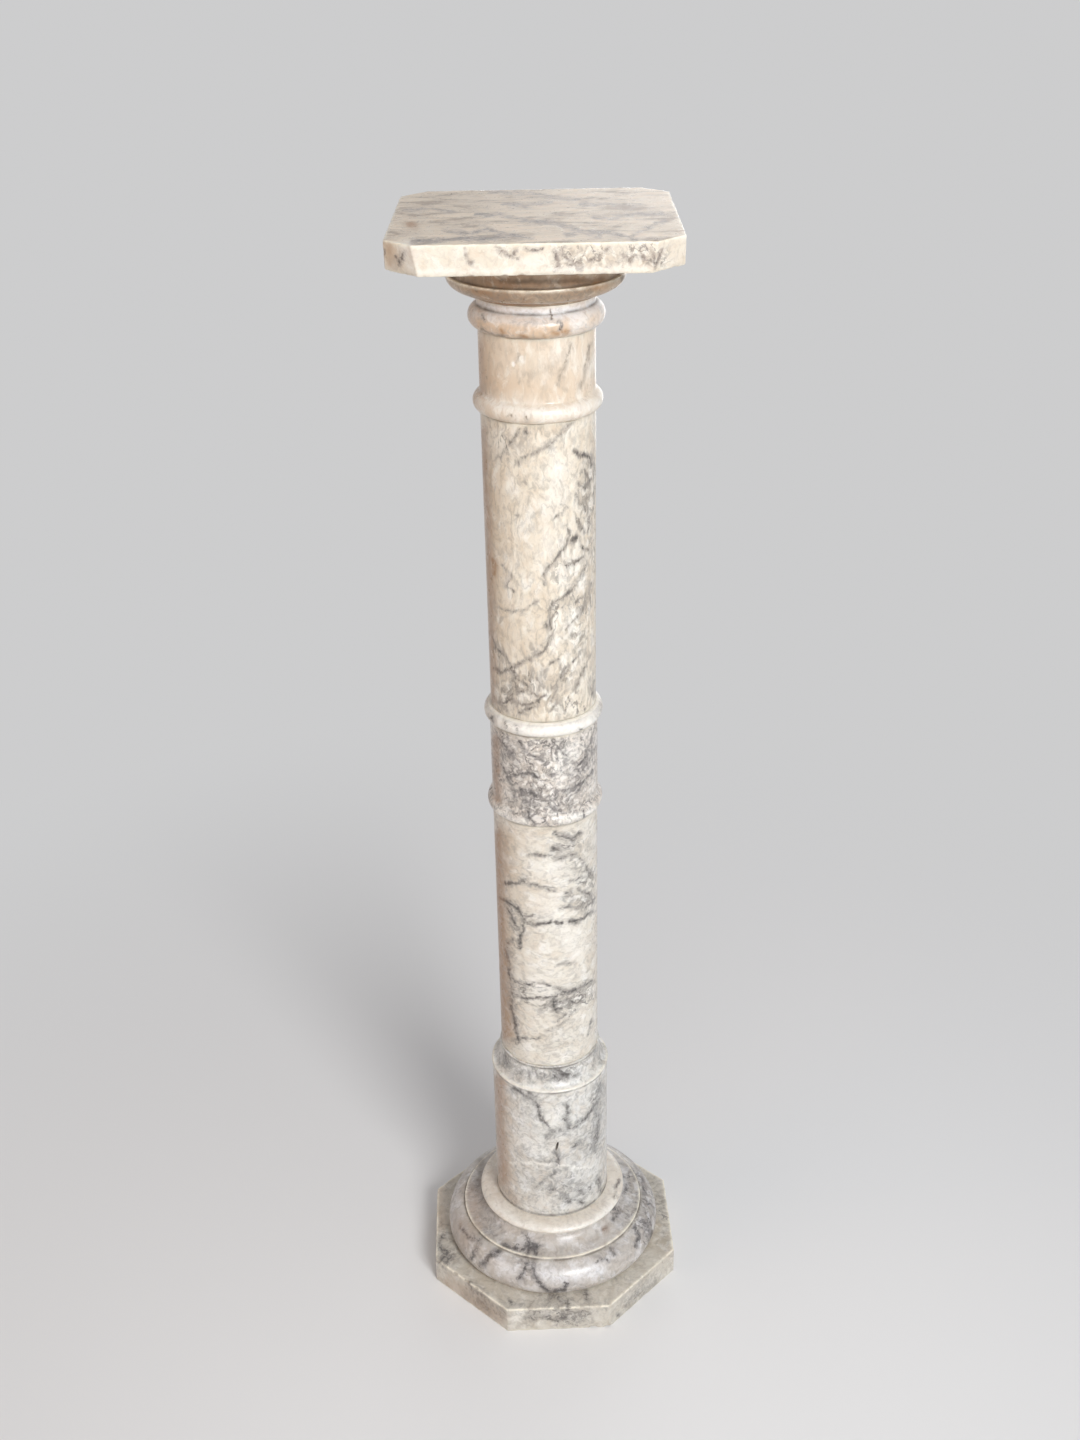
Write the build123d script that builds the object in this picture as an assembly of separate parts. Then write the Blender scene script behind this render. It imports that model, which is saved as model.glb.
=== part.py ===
"""Stone pedestal column: twelve turned and cut stones stacked on hidden round dowels.

Millimetres, +Z up. The origin is the middle of the plinth's underside. The front is -Y.
A turned stone's outline is drawn as radius and height above its own lower bed.
"""

import math
import os

from build123d import *

# Plinth: an eight-sided slab, wider than the base moulding all round
PLINTH_SIDES = 8
PLINTH_H = 27.2
PLINTH_LEDGE = 13.0
PLINTH_ARRIS = 1.0
PLINTH_CORNER_R = 0.8

# Base moulding, from the foot up: torus, fillet and hollow
TORUS_TUCK = 5.5
TORUS_TUCK_H = 10.8
TORUS_PROUD = 15.7
TORUS_SHOULDER_H = 19.8
BASE_FILLET_STEP = 0.4
BASE_FILLET_H = 2.4
BASE_HOLLOW_STEP = 0.6
BASE_HOLLOW_SPREAD = 19.8
BASE_HOLLOW_H = 12.3

# Foot ring: its flat faces reach out past the lower drum, and its edge is half-round
FOOT_RING_H = 7.8
FOOT_RING_LEDGE = 12.0

# Lower drum: foot bead, plain side, rim bead, hollow shoulder and neck bead
LOWER_DRUM_R = 53.0
FOOT_BEAD_H = 2.0
FOOT_BEAD_PROUD = 0.6
LOWER_DRUM_SIDE_H = 146.2
RIM_BEAD_H = 2.6
RIM_BEAD_PROUD = 0.9
RIM_FLAT = 1.0
SHOULDER_H = 19.4
NECK_BEAD_LEDGE = 0.7
NECK_BEAD_H = 1.8
NECK_BEAD_PROUD = 0.8

# Lower shaft
LOWER_SHAFT_H = 250.7
LOWER_SHAFT_FOOT_R = 44.1
LOWER_SHAFT_HEAD_R = 44.4

# Middle drum, with a ring round its foot
MIDDLE_DRUM_R = 44.6
MIDDLE_DRUM_SIDE_H = 71.6
MIDDLE_DRUM_RING_H = 12.6
MIDDLE_DRUM_RING_PROUD = 4.1

# Middle ring: a loose ring between the middle drum and the upper shaft
MIDDLE_RING_H = 12.8
MIDDLE_RING_R = 44.4
MIDDLE_RING_PROUD = 4.7

# Upper shaft
UPPER_SHAFT_H = 247.7
UPPER_SHAFT_FOOT_R = 43.4
UPPER_SHAFT_HEAD_R = 44.0

# Neck drum, with a ring round its foot
NECK_DRUM_R = 44.0
NECK_DRUM_SIDE_H = 48.5
NECK_DRUM_RING_H = 14.6
NECK_DRUM_RING_PROUD = 5.5

# Radius of the small hollow that runs each drum's ring into its side
RING_COVE = 2.0

# Collar: a large ring and a short neck above it
COLLAR_RING_LEDGE = 0.3
COLLAR_RING_H = 17.3
COLLAR_RING_PROUD = 6.8
COLLAR_NECK_H = 6.2
COLLAR_NECK_TAPER = 0.5

# Capital, from the foot up: lip, echinus, fillet, hollow and head band
LIP_LEDGE = 1.8
LIP_H = 2.8
LIP_PROUD = 1.4
ECHINUS_STEP = 0.4
ECHINUS_SPREAD = 20.0
ECHINUS_H = 11.2
CAPITAL_FILLET_H = 2.0
CAPITAL_FILLET_STEP = 3.5
CAPITAL_HOLLOW_SPREAD = 7.5
CAPITAL_HOLLOW_H = 15.0
CAPITAL_BAND_H = 3.5

# Top plate: square, its four corners cut by planes that lean in towards the underside
PLATE_H = 21.2
PLATE_OVERHANG = 32.6
PLATE_CORNER_CUT = 19.9
PLATE_CORNER_LEAN = 8.0
PLATE_CORNER_R = 2.5
PLATE_ARRIS = 1.2
PLATE_TURN = -2.0

# Bevel round each end of a shaft or drum, which leaves a fine groove at the joint
JOINT_BEVEL = 0.4

# Dowels and their blind sockets: depth in a slab, and in a shaft, drum or ring
DOWEL_R = 8.0
DOWEL_FIT = 0.4
DOWEL_HEADROOM = 1.5
SLAB_SOCKET = 13.0
SHAFT_SOCKET = 22.0

# Knocks on the plinth's edges: degrees round from +X, 1 for the upper edge and -1 for the
# lower, radius of the ball that fits the break, and how deep it bites
PLINTH_KNOCKS = [
    (202.5, 1, 11.0, 3.2),
    (222.7, 1, 7.0, 1.2),
    (284.9, -1, 9.0, 1.4),
    (292.0, -1, 7.0, 2.0),
]

# Natural pit in the face of the lower drum
PIT_ANGLE = 273.7
PIT_LEVEL = 85.7
PIT_WIDTH = 2.2
PIT_DEPTH = 2.0
PIT_DISC_R = 6.0

# Radii that follow from those above, from the drums outwards
BASE_HEAD_R = LOWER_DRUM_R + FOOT_RING_LEDGE
BASE_HOLLOW_R = BASE_HEAD_R + BASE_HOLLOW_SPREAD
BASE_FILLET_R = BASE_HOLLOW_R + BASE_HOLLOW_STEP
TORUS_HEAD_R = BASE_FILLET_R + BASE_FILLET_STEP
TORUS_R = TORUS_HEAD_R + TORUS_PROUD
CAPITAL_FOOT_R = NECK_DRUM_R + LIP_LEDGE
ECHINUS_R = CAPITAL_FOOT_R + ECHINUS_STEP + ECHINUS_SPREAD
CAPITAL_HOLLOW_R = ECHINUS_R - CAPITAL_FILLET_STEP
CAPITAL_HEAD_R = CAPITAL_HOLLOW_R + CAPITAL_HOLLOW_SPREAD


class Outline:
    """Outer line of a turned stone, drawn upwards from its lower bed."""

    def __init__(self, radius):
        self.first = (radius, 0)
        self.radius = radius
        self.height = 0
        self.edges = []
        self.coves = []

    def line(self, radius, rise):
        """Straight run to a radius, some way up."""
        end = (radius, self.height + rise)
        self.edges.append(Line((self.radius, self.height), end))
        self.radius, self.height = end

    def curve(self, radius, rise, upright_first):
        """Quarter ellipse to a radius, some way up.

        It either sets off upright and arrives level, or sets off level and arrives upright.
        """
        spread = radius - self.radius
        if upright_first:
            centre = (radius, self.height)
            start = 0 if spread < 0 else 180
            turn = 90 if spread < 0 else -90
        else:
            centre = (self.radius, self.height + rise)
            start = -90
            turn = -90 if spread < 0 else 90
        self.edges.append(EllipticalCenterArc(centre, abs(spread), rise, start, arc_size=turn))
        self.radius = radius
        self.height += rise

    def arc(self, radius, rise, upright_first):
        """Circular arc to a radius, some way up, upright at its foot or else at its head."""
        start = (self.radius, self.height)
        end = (radius, self.height + rise)
        away = (0, 1) if upright_first else (0, -1)
        self.edges.append(TangentArc(start, end, tangent=away, tangent_from_first=upright_first))
        self.radius, self.height = end

    def ring(self, proud, rise, cove=0):
        """Ring with a circular section, run into what is above it by a small hollow where asked."""
        widest = (self.radius + proud, self.height + rise / 2)
        end = (self.radius, self.height + rise)
        self.edges.append(ThreePointArc((self.radius, self.height), widest, end))
        self.height += rise
        if cove:
            self.coves.append((end, cove))

    def side(self, radius, rise, foot_bevel=True):
        """Plain side up to a radius, bevelled at its head and, if it is an end, its foot."""
        straight = rise - JOINT_BEVEL
        if foot_bevel:
            self.line(self.radius + JOINT_BEVEL, JOINT_BEVEL)
            straight -= JOINT_BEVEL
        self.line(radius, straight)
        self.line(radius - JOINT_BEVEL, JOINT_BEVEL)

    def solid(self):
        """The outline closed by the two beds and turned about Z."""
        foot = (0, 0)
        head = (0, self.height)
        beds = [Line(foot, self.first), Line((self.radius, self.height), head)]
        face = make_face(self.edges + beds + [Line(head, foot)])
        for place, cove in self.coves:
            corner = face.vertices().sort_by_distance(place)[0]
            face = fillet(corner, cove)
        return revolve(Plane.XZ * face, Axis.Z)


def plinth_reach(angle):
    """Distance from the axis to the plinth's side, in a direction given in degrees."""
    sector = 360 / PLINTH_SIDES
    off_middle = (angle + sector / 2) % sector - sector / 2
    return (TORUS_R + PLINTH_LEDGE) / math.cos(math.radians(off_middle))


def plinth_knock(angle, edge, ball_radius, bite):
    """Ball that breaks stone out of the plinth's upper or lower edge, coming in at 45 degrees."""
    level = PLINTH_H if edge > 0 else 0
    off = (ball_radius - bite) * math.sqrt(0.5)
    return Rot(Z=angle) * Pos(plinth_reach(angle) + off, 0, level + edge * off) * Sphere(ball_radius)


def plinth():
    outline = RegularPolygon(
        TORUS_R + PLINTH_LEDGE,
        PLINTH_SIDES,
        major_radius=False,
        rotation=180 / PLINTH_SIDES,
    )
    slab = extrude(outline, PLINTH_H)
    slab = fillet(slab.edges().filter_by(Axis.Z), PLINTH_CORNER_R)
    slab = fillet(slab.edges().group_by(Axis.Z)[-1], PLINTH_ARRIS)
    for knock in PLINTH_KNOCKS:
        slab -= plinth_knock(*knock)
    return slab


def base_moulding():
    outline = Outline(TORUS_R - TORUS_TUCK)
    outline.arc(TORUS_R, TORUS_TUCK_H, upright_first=False)
    outline.arc(TORUS_HEAD_R, TORUS_SHOULDER_H, upright_first=True)
    outline.line(BASE_FILLET_R, 0)
    outline.line(BASE_FILLET_R, BASE_FILLET_H)
    outline.line(BASE_HOLLOW_R, 0)
    outline.curve(BASE_HEAD_R, BASE_HOLLOW_H, upright_first=False)
    return outline.solid()


def foot_ring():
    outline = Outline(LOWER_DRUM_R + FOOT_RING_LEDGE)
    outline.ring(FOOT_RING_H / 2, FOOT_RING_H)
    return outline.solid()


def lower_drum():
    outline = Outline(LOWER_DRUM_R)
    outline.ring(FOOT_BEAD_PROUD, FOOT_BEAD_H)
    outline.line(LOWER_DRUM_R, LOWER_DRUM_SIDE_H)
    outline.ring(RIM_BEAD_PROUD, RIM_BEAD_H)
    outline.line(LOWER_DRUM_R - RIM_FLAT, 0)
    outline.curve(LOWER_SHAFT_FOOT_R + NECK_BEAD_LEDGE, SHOULDER_H, upright_first=False)
    outline.ring(NECK_BEAD_PROUD, NECK_BEAD_H)
    disc_out = LOWER_DRUM_R + PIT_DISC_R - PIT_DEPTH
    pit = Rot(Z=PIT_ANGLE) * Pos(disc_out, 0, PIT_LEVEL) * Rot(X=90) * Cylinder(PIT_DISC_R, PIT_WIDTH)
    return outline.solid() - pit


def lower_shaft():
    outline = Outline(LOWER_SHAFT_FOOT_R - JOINT_BEVEL)
    outline.side(LOWER_SHAFT_HEAD_R, LOWER_SHAFT_H)
    return outline.solid()


def middle_drum():
    outline = Outline(MIDDLE_DRUM_R)
    outline.ring(MIDDLE_DRUM_RING_PROUD, MIDDLE_DRUM_RING_H, cove=RING_COVE)
    outline.side(MIDDLE_DRUM_R, MIDDLE_DRUM_SIDE_H, foot_bevel=False)
    return outline.solid()


def middle_ring():
    outline = Outline(MIDDLE_RING_R)
    outline.ring(MIDDLE_RING_PROUD, MIDDLE_RING_H)
    return outline.solid()


def upper_shaft():
    outline = Outline(UPPER_SHAFT_FOOT_R - JOINT_BEVEL)
    outline.side(UPPER_SHAFT_HEAD_R, UPPER_SHAFT_H)
    return outline.solid()


def neck_drum():
    outline = Outline(NECK_DRUM_R)
    outline.ring(NECK_DRUM_RING_PROUD, NECK_DRUM_RING_H, cove=RING_COVE)
    outline.side(NECK_DRUM_R, NECK_DRUM_SIDE_H, foot_bevel=False)
    return outline.solid()


def collar():
    outline = Outline(NECK_DRUM_R + COLLAR_RING_LEDGE)
    outline.ring(COLLAR_RING_PROUD, COLLAR_RING_H)
    outline.side(outline.radius - COLLAR_NECK_TAPER, COLLAR_NECK_H, foot_bevel=False)
    return outline.solid()


def capital():
    outline = Outline(CAPITAL_FOOT_R)
    outline.ring(LIP_PROUD, LIP_H)
    outline.line(CAPITAL_FOOT_R + ECHINUS_STEP, 0)
    outline.curve(ECHINUS_R, ECHINUS_H, upright_first=False)
    outline.line(ECHINUS_R, CAPITAL_FILLET_H)
    outline.line(CAPITAL_HOLLOW_R, 0)
    outline.curve(CAPITAL_HEAD_R, CAPITAL_HOLLOW_H, upright_first=True)
    outline.line(CAPITAL_HEAD_R, CAPITAL_BAND_H)
    return outline.solid()


def top_plate():
    half = CAPITAL_HEAD_R + PLATE_OVERHANG
    base_bed = (Align.CENTER, Align.CENTER, Align.MIN)
    plate = Box(2 * half, 2 * half, PLATE_H, align=base_bed)
    # The cut's outward distance is that of the square's corner, less the corner taken off
    cut_out = (2 * half - PLATE_CORNER_CUT) * math.sqrt(0.5)
    cutter = Box(2 * half, 2 * half, 2 * half, align=(Align.MIN, Align.CENTER, Align.CENTER))
    for angle in (45, 135, 225, 315):
        plate -= Rot(Z=angle) * Pos(cut_out, 0, PLATE_H) * Rot(Y=PLATE_CORNER_LEAN) * cutter
    plate = fillet(plate.edges().group_by(Axis.Z)[1], PLATE_CORNER_R)
    levels = plate.edges().group_by(Axis.Z)
    plate = fillet(levels[0] + levels[-1], PLATE_ARRIS)
    return Rot(Z=PLATE_TURN) * plate


# The stack, from the floor up
STONES = [
    plinth,
    base_moulding,
    foot_ring,
    lower_drum,
    lower_shaft,
    middle_drum,
    middle_ring,
    upper_shaft,
    neck_drum,
    collar,
    capital,
    top_plate,
]

# Each dowel, the stone that its foot stands in with its depth there, and the stone that
# its head reaches into with its depth there
DOWELS = [
    ("plinth_dowel", "plinth", SLAB_SOCKET, "base_moulding", SLAB_SOCKET),
    ("foot_dowel", "base_moulding", SLAB_SOCKET, "lower_drum", SHAFT_SOCKET),
    ("drum_dowel", "lower_drum", SHAFT_SOCKET, "lower_shaft", SHAFT_SOCKET),
    ("shaft_dowel", "lower_shaft", SHAFT_SOCKET, "middle_drum", SHAFT_SOCKET),
    ("middle_dowel", "middle_drum", SHAFT_SOCKET, "upper_shaft", SHAFT_SOCKET),
    ("neck_dowel", "upper_shaft", SHAFT_SOCKET, "neck_drum", SHAFT_SOCKET),
    ("collar_dowel", "neck_drum", SHAFT_SOCKET, "capital", SLAB_SOCKET),
    ("plate_dowel", "capital", SLAB_SOCKET, "top_plate", SLAB_SOCKET),
]


def stack_stones():
    """Each stone at its place, by name."""
    stones = {}
    level = 0
    for make in STONES:
        stone = Pos(0, 0, level) * make()
        stones[make.__name__] = stone
        level = stone.bounding_box().max.Z
    return stones


def upright_rod(radius, foot, head):
    """Round rod on the axis between two levels."""
    return Pos(0, 0, foot) * Cylinder(radius, head - foot, align=(Align.CENTER, Align.CENTER, Align.MIN))


def fit_dowel(stones, below, depth_below, above, depth_above):
    """Bore the socket through every stone that the dowel crosses, and return the dowel."""
    foot = stones[below].bounding_box().max.Z - depth_below
    head = stones[above].bounding_box().min.Z + depth_above
    socket = upright_rod(DOWEL_R + DOWEL_FIT, foot, head)
    names = list(stones)
    for name in names[names.index(below) : names.index(above) + 1]:
        stones[name] -= socket
    return upright_rod(DOWEL_R, foot, head - DOWEL_HEADROOM)


def main():
    pieces = stack_stones()
    dowels = {name: fit_dowel(pieces, *ends) for name, *ends in DOWELS}
    pieces.update(dowels)
    os.makedirs("parts", exist_ok=True)
    for name, piece in pieces.items():
        export_step(piece, f"parts/{name}.step")


main()
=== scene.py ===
"""Looks of the stone pedestal column: worn, veined, polished stones in place of plain ones."""

import math

import bpy
import numpy as np
from mathutils import Matrix, Vector, noise


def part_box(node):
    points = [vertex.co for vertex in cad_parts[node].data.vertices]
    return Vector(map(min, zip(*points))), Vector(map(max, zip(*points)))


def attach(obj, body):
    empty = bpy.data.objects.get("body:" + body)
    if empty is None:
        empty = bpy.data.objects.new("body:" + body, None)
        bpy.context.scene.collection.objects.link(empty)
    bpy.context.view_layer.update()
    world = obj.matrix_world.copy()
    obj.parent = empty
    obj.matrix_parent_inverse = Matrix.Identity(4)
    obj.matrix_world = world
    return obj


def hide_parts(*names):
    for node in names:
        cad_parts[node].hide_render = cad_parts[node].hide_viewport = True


MM = 0.001
SEED = 7

# Camera, fitted to the photograph. Its right side leans down by the roll
PHOTO_SIZE = (1080, 1440)
CAMERA_PLACE = Vector((-0.0380, -1.2286, 1.2157))
CAMERA_YAW = math.radians(1.625)
CAMERA_PITCH = math.radians(-27.34)
CAMERA_ROLL = math.radians(-1.11)
CAMERA_LENS = 41.54
CAMERA_CLIP = 100
SENSOR = 36.0

# Slabs, in mm: half width, rounding of the upright arrises, and the inner radii of the lower
# and the upper bed's rim. The plate's corners are cut more at its foot than at its head
PLINTH_HALF = 114.5
PLINTH_ROUNDING = 0.9
PLINTH_RIMS = (100, 90)
PLATE_HALF = 102.8
PLATE_ROUNDING = 2.5
PLATE_RIMS = (64, 1.0)
PLATE_FOOT_CUT = 24.1
PLATE_HEAD_CUT = 19.9
PLATE_TURN = -2.0

# Mesh spacing, in mm. The front, which the photograph shows, is finer than the back
FINE_STEP = 0.3
PLAIN_STEP = 1.1
FRONT_STEP = 0.85
BACK_STEP = 1.7
BED_LIP = 3.0

# Least and most segments round the front and the back half, and along the slabs' sides
FRONT_COUNTS = (160, 260)
BACK_COUNTS = (90, 150)
PLINTH_SIDE_COUNTS = [60]
PLATE_SIDE_COUNTS = [104, 20]

# Points along a curve or an arc, along each run of a ring, and round a slab's corner
CURVE_COUNT = 25
RING_COUNT = 33
CORNER_COUNT = 7

# How far the pale look of an arris, rubbed wear with a painted highlight, and the grime and
# painted shade of a corner spread, in mm. A turn in the outline makes one where its sine is past
# the least, and the gain makes sharp turns all alike
ARRIS_REACH = 1.5
LEAST_TURN = 0.25
TURN_GAIN = 1.5

# Bend at which a thinned outline keeps a point
KEPT_BEND = 0.12

# How often the outlines' arrises are rubbed round
ROUND_RUBS = 3
PLINTH_RUBS = 9
PLATE_RUBS = 10

# Nicks in the arrises: scale and fractal settings of their noise, what is added to it, how much
# of an arris there must be, and the deepest bite
NICK_SCALE = 120
NICK_FRACTAL = (0.8, 2.0, 3)
NICK_EVEN = 0.05
NICK_FROM = 0.15
NICK_DEPTH = 0.7 * MM

# How far a painted vein's field reaches, in half-widths, and at least, in the marks' own
# unit. Other marks fade out within a few half-widths
VEIN_REACH = 4.6
LEAST_REACH = 4.0
MARK_REACH = 2.2

# How much wider and stronger the soft clouds are than the strokes below give them
CLOUD_SPREAD = 1.3
CLOUD_GAIN = 1.45
MOST_CLOUD = 0.9

# How the marks waver: scale of each noise, and its reach in pixels or mm
FRONT_WAVER = [(110, 2.2), (370, 1.2)]
BACK_WAVER = [(90, 2.4), (320, 1.2)]

# Random veins: how many to a square mm of the unrolled girth with some height to spare, how
# far past the beds they may start, and the ranges of their slope and turns in radians, strides
# in mm, steps, half-widths in mm and strengths. The haze round each has a strength, and a reach
# in half-widths with some mm added
VEIN_DENSITY = 0.00045
VEIN_SPARE = 40
VEIN_MARGIN = 10
VEIN_SLOPES = (0.35, 1.25)
VEIN_TURNS = (-0.55, 0.55)
VEIN_STRIDES = (4, 10)
VEIN_STEPS = (3, 11)
VEIN_WIDTHS = (0.6, 1.3)
VEIN_STRENGTHS = (0.62, 0.95)
HAZE_STRENGTH = 0.45
HAZE_WIDTHS = 3
HAZE_MORE = 2

# Cosine between the normal and the line of sight over which the photograph's marks fade in
SEEN_FADE = (0.0, 0.2)
HIDDEN_BELOW = 0.95

# Upward part of the normal over which a face becomes a flat top, and from which it is a bed
UPWARD_FADE = (0.75, 0.95)
BED_NORMAL = 0.8

# Natural pit in the lower drum: where it is, in degrees and mm, and its size and slant. The
# mesh is finer round it
PIT_ANGLE = 273.7
PIT_LEVEL = 166.0
PIT_HALF_WIDTH = 1.2
PIT_HALF_HEIGHT = 5.2
PIT_DEPTH = 2.0
PIT_SLANT = 0.2
# How dark the pit gets at its deepest: painted shade in the hollow, and grime
PIT_SHADE_AND_GRIME = 1.6
PIT_MARGIN = 1
PIT_FINE_REACH = 3
PIT_FINE_COUNT = 25

# Knocks on the plinth: degrees round, upper or lower edge, radius and bite in mm
PLINTH_KNOCKS = [
    (202.5, 1, 11.0, 3.2),
    (222.7, 1, 7.0, 1.2),
    (284.9, -1, 9.0, 1.4),
    (292.0, -1, 7.0, 2.0),
]

# Breaks: scale of the noise that roughens them and its share of the radius, the strengths of
# the darkening or white in them, and how much of an arris's pale look stays
BREAK_SCALE = 330
BREAK_ROUGHNESS = 0.12
BREAK_DARKENING = 0.3
BREAK_WHITE = 0.9
BREAK_ARRIS = 0.3

# A chip's place is looked for near its pixel, with this many pixels taken off at an arris and
# added on the far side
ARRIS_PULL = 2
FAR_SIDE = 100

# Lamps: name, place and width in metres, power in watts and colour. All aim at the middle
LAMPS = [
    ("key", (0.95, -2.25, 1.75), 1.1, 58.0, (1, 1, 1)),
    ("fill", (-2.2, -0.8, 1.0), 1.8, 8.5, (1.0, 0.66, 0.4)),
    ("overhead", (0.2, -0.5, 3.2), 1.6, 12.0, (1, 1, 1)),
    ("back", (0.6, 2.4, 0.7), 1.6, 12.0, (1, 1, 1)),
]
LAMP_AIM = Vector((0, 0, 0.5))

# Stage: linear colours, the world's strength, and the floor's reach and fade in metres
BACKGROUND = (0.61, 0.61, 0.615, 1)
FLOOR_COLOUR = (0.84, 0.835, 0.83, 1)
FLOOR_REACH = 30.0
FLOOR_FADE = (0.25, 1.2)
WORLD_COLOUR = (0.9, 0.93, 1.0, 1)
WORLD_STRENGTH = 0.28

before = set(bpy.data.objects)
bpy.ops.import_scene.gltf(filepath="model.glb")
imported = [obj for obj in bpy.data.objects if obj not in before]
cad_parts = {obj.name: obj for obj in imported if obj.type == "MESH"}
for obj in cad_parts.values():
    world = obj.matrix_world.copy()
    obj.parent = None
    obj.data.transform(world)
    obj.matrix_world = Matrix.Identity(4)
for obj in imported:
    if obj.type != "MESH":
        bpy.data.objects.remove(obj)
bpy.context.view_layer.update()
rng = np.random.default_rng(SEED)
noise.seed_set(SEED)


# Camera

def camera_axes():
    """Right, up and forward directions of the camera."""
    level = Vector((math.cos(CAMERA_YAW), -math.sin(CAMERA_YAW), 0))
    flat = Vector((math.sin(CAMERA_YAW), math.cos(CAMERA_YAW), 0))
    forward = flat * math.cos(CAMERA_PITCH) + Vector((0, 0, math.sin(CAMERA_PITCH)))
    upright = level.cross(forward)
    right = level * math.cos(CAMERA_ROLL) + upright * math.sin(CAMERA_ROLL)
    return right, right.cross(forward), forward


def add_object(name, data):
    made = bpy.data.objects.new(name, data)
    bpy.context.scene.collection.objects.link(made)
    return made


def make_camera():
    right, up, forward = camera_axes()
    data = bpy.data.cameras.new("camera")
    data.lens = CAMERA_LENS
    data.sensor_width = SENSOR
    data.clip_end = CAMERA_CLIP
    camera = add_object("camera", data)
    turn = Matrix((right, up, -forward)).transposed()
    camera.matrix_world = Matrix.Translation(CAMERA_PLACE) @ turn.to_4x4()
    bpy.context.scene.camera = camera


def to_photo(places):
    """Pixels of the photograph where points in metres appear."""
    right, up, forward = [np.array(axis) for axis in camera_axes()]
    away = places - np.array(CAMERA_PLACE)
    focal = CAMERA_LENS / SENSOR * max(PHOTO_SIZE)
    depth = away @ forward
    across = PHOTO_SIZE[0] / 2 + focal * (away @ right) / depth
    down = PHOTO_SIZE[1] / 2 - focal * (away @ up) / depth
    return np.stack([across, down], axis=1)


# Outlines, in mm: radius and height, drawn from the lower bed upwards

class Outline:
    """A stone's side in section. Its drawing methods return it, so that they can be chained."""

    def __init__(self, node, radius):
        low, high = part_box(node)
        self.node = node
        self.low = low[2] / MM
        self.high = high[2] / MM
        self.points = [(radius - BED_LIP, self.low), (radius, self.low)]

    @property
    def radius(self):
        return self.points[-1][0]

    @property
    def height(self):
        return self.points[-1][1]

    def line(self, radius, rise=0):
        self.points.append((radius, self.height + rise))
        return self

    def curve(self, radius, rise, upright_first):
        """Quarter ellipse that sets off upright and arrives level, or the other way about."""
        start_radius, start_height = self.points[-1]
        spread = radius - start_radius
        for angle in np.linspace(0, math.pi / 2, CURVE_COUNT)[1:]:
            near, far = math.sin(angle), 1 - math.cos(angle)
            if upright_first:
                near, far = far, near
            self.points.append((start_radius + spread * near, start_height + rise * far))
        return self

    def arc(self, radius, rise, upright_first):
        """Circular arc that is upright at its foot or else at its head."""
        start_radius, start_height = self.points[-1]
        spread = radius - start_radius
        bend = (spread ** 2 + rise ** 2) / (2 * abs(spread))
        side = math.copysign(bend, spread)
        turn = math.asin(rise / bend)
        for angle in np.linspace(0, turn, CURVE_COUNT)[1:]:
            if upright_first:
                self.points.append((start_radius + side * (1 - math.cos(angle)),
                                    start_height + bend * math.sin(angle)))
            else:
                self.points.append((radius - side * (1 - math.cos(turn - angle)),
                                    start_height + rise - bend * math.sin(turn - angle)))
        return self

    def round_about(self, centre, bend, first, last):
        """Arc about a centre, from one angle to another."""
        for angle in np.linspace(first, last, RING_COUNT)[1:]:
            self.points.append((centre[0] + bend * math.cos(angle),
                                centre[1] + bend * math.sin(angle)))
        return self

    def ring(self, proud, rise, cove=0):
        """Ring with a circular section, run into what is above it by a small hollow."""
        bed_radius = self.radius
        half = rise / 2
        bend = (half ** 2 + proud ** 2) / (2 * proud)
        centre = (bed_radius + proud - bend, self.height + half)
        reach = math.atan2(half, bend - proud)
        if not cove:
            return self.round_about(centre, bend, -reach, reach)
        across = bed_radius + cove - centre[0]
        up = math.sqrt((bend + cove) ** 2 - across ** 2)
        meet = math.atan2(up, across)
        self.round_about(centre, bend, -reach, meet)
        hollow = (bed_radius + cove, centre[1] + up)
        return self.round_about(hollow, cove, meet + math.pi, math.pi)

    def close(self, radius=None):
        """Straight to the upper bed, and to a radius there if it is given, then in along it."""
        if self.height < self.high - 0.01:
            self.line(self.radius if radius is None else radius, self.high - self.height)
        return self.line(self.radius - BED_LIP)


def turned_outlines():
    """The turned stones, from the floor up."""
    return [
        Outline("base_moulding", 96.0)
        .arc(101.5, 10.8, upright_first=False).arc(85.8, 19.8, upright_first=True)
        .line(85.4).line(85.4, 2.4).line(84.8).curve(65.0, 12.3, upright_first=False).close(),
        Outline("foot_ring", 65.0)
        .arc(68.9, 3.9, upright_first=False).curve(59.0, 3.9, upright_first=True).line(51.0),
        Outline("lower_drum", 53.0)
        .ring(0.6, 2.0).line(53.0, 146.2).ring(0.9, 2.6).line(52.0)
        .curve(44.8, 19.4, upright_first=False).ring(0.8, 1.8).close(),
        Outline("lower_shaft", 44.1).close(44.4),
        Outline("middle_drum", 44.6).ring(4.1, 12.6, cove=2.0).close(),
        Outline("middle_ring", 44.4).ring(4.7, 12.8).close(),
        Outline("upper_shaft", 43.4).close(44.0),
        Outline("neck_drum", 44.0).ring(5.5, 14.6, cove=2.0).close(),
        Outline("collar", 44.3).ring(6.8, 17.3).line(43.8, 6.2).close(),
        Outline("capital", 45.8)
        .ring(1.4, 2.8).line(46.2).curve(66.2, 11.2, upright_first=False)
        .line(66.2, 2.0).line(62.7).curve(70.2, 15.0, upright_first=True).close(),
    ]


def slab_outline(node, half_width, rims):
    """Upright side of a slab. Its beds reach in to the two inner radii."""
    outline = Outline(node, half_width)
    outline.points[0] = (rims[0], outline.low)
    return outline.line(half_width, outline.high - outline.low).line(rims[1])


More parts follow.
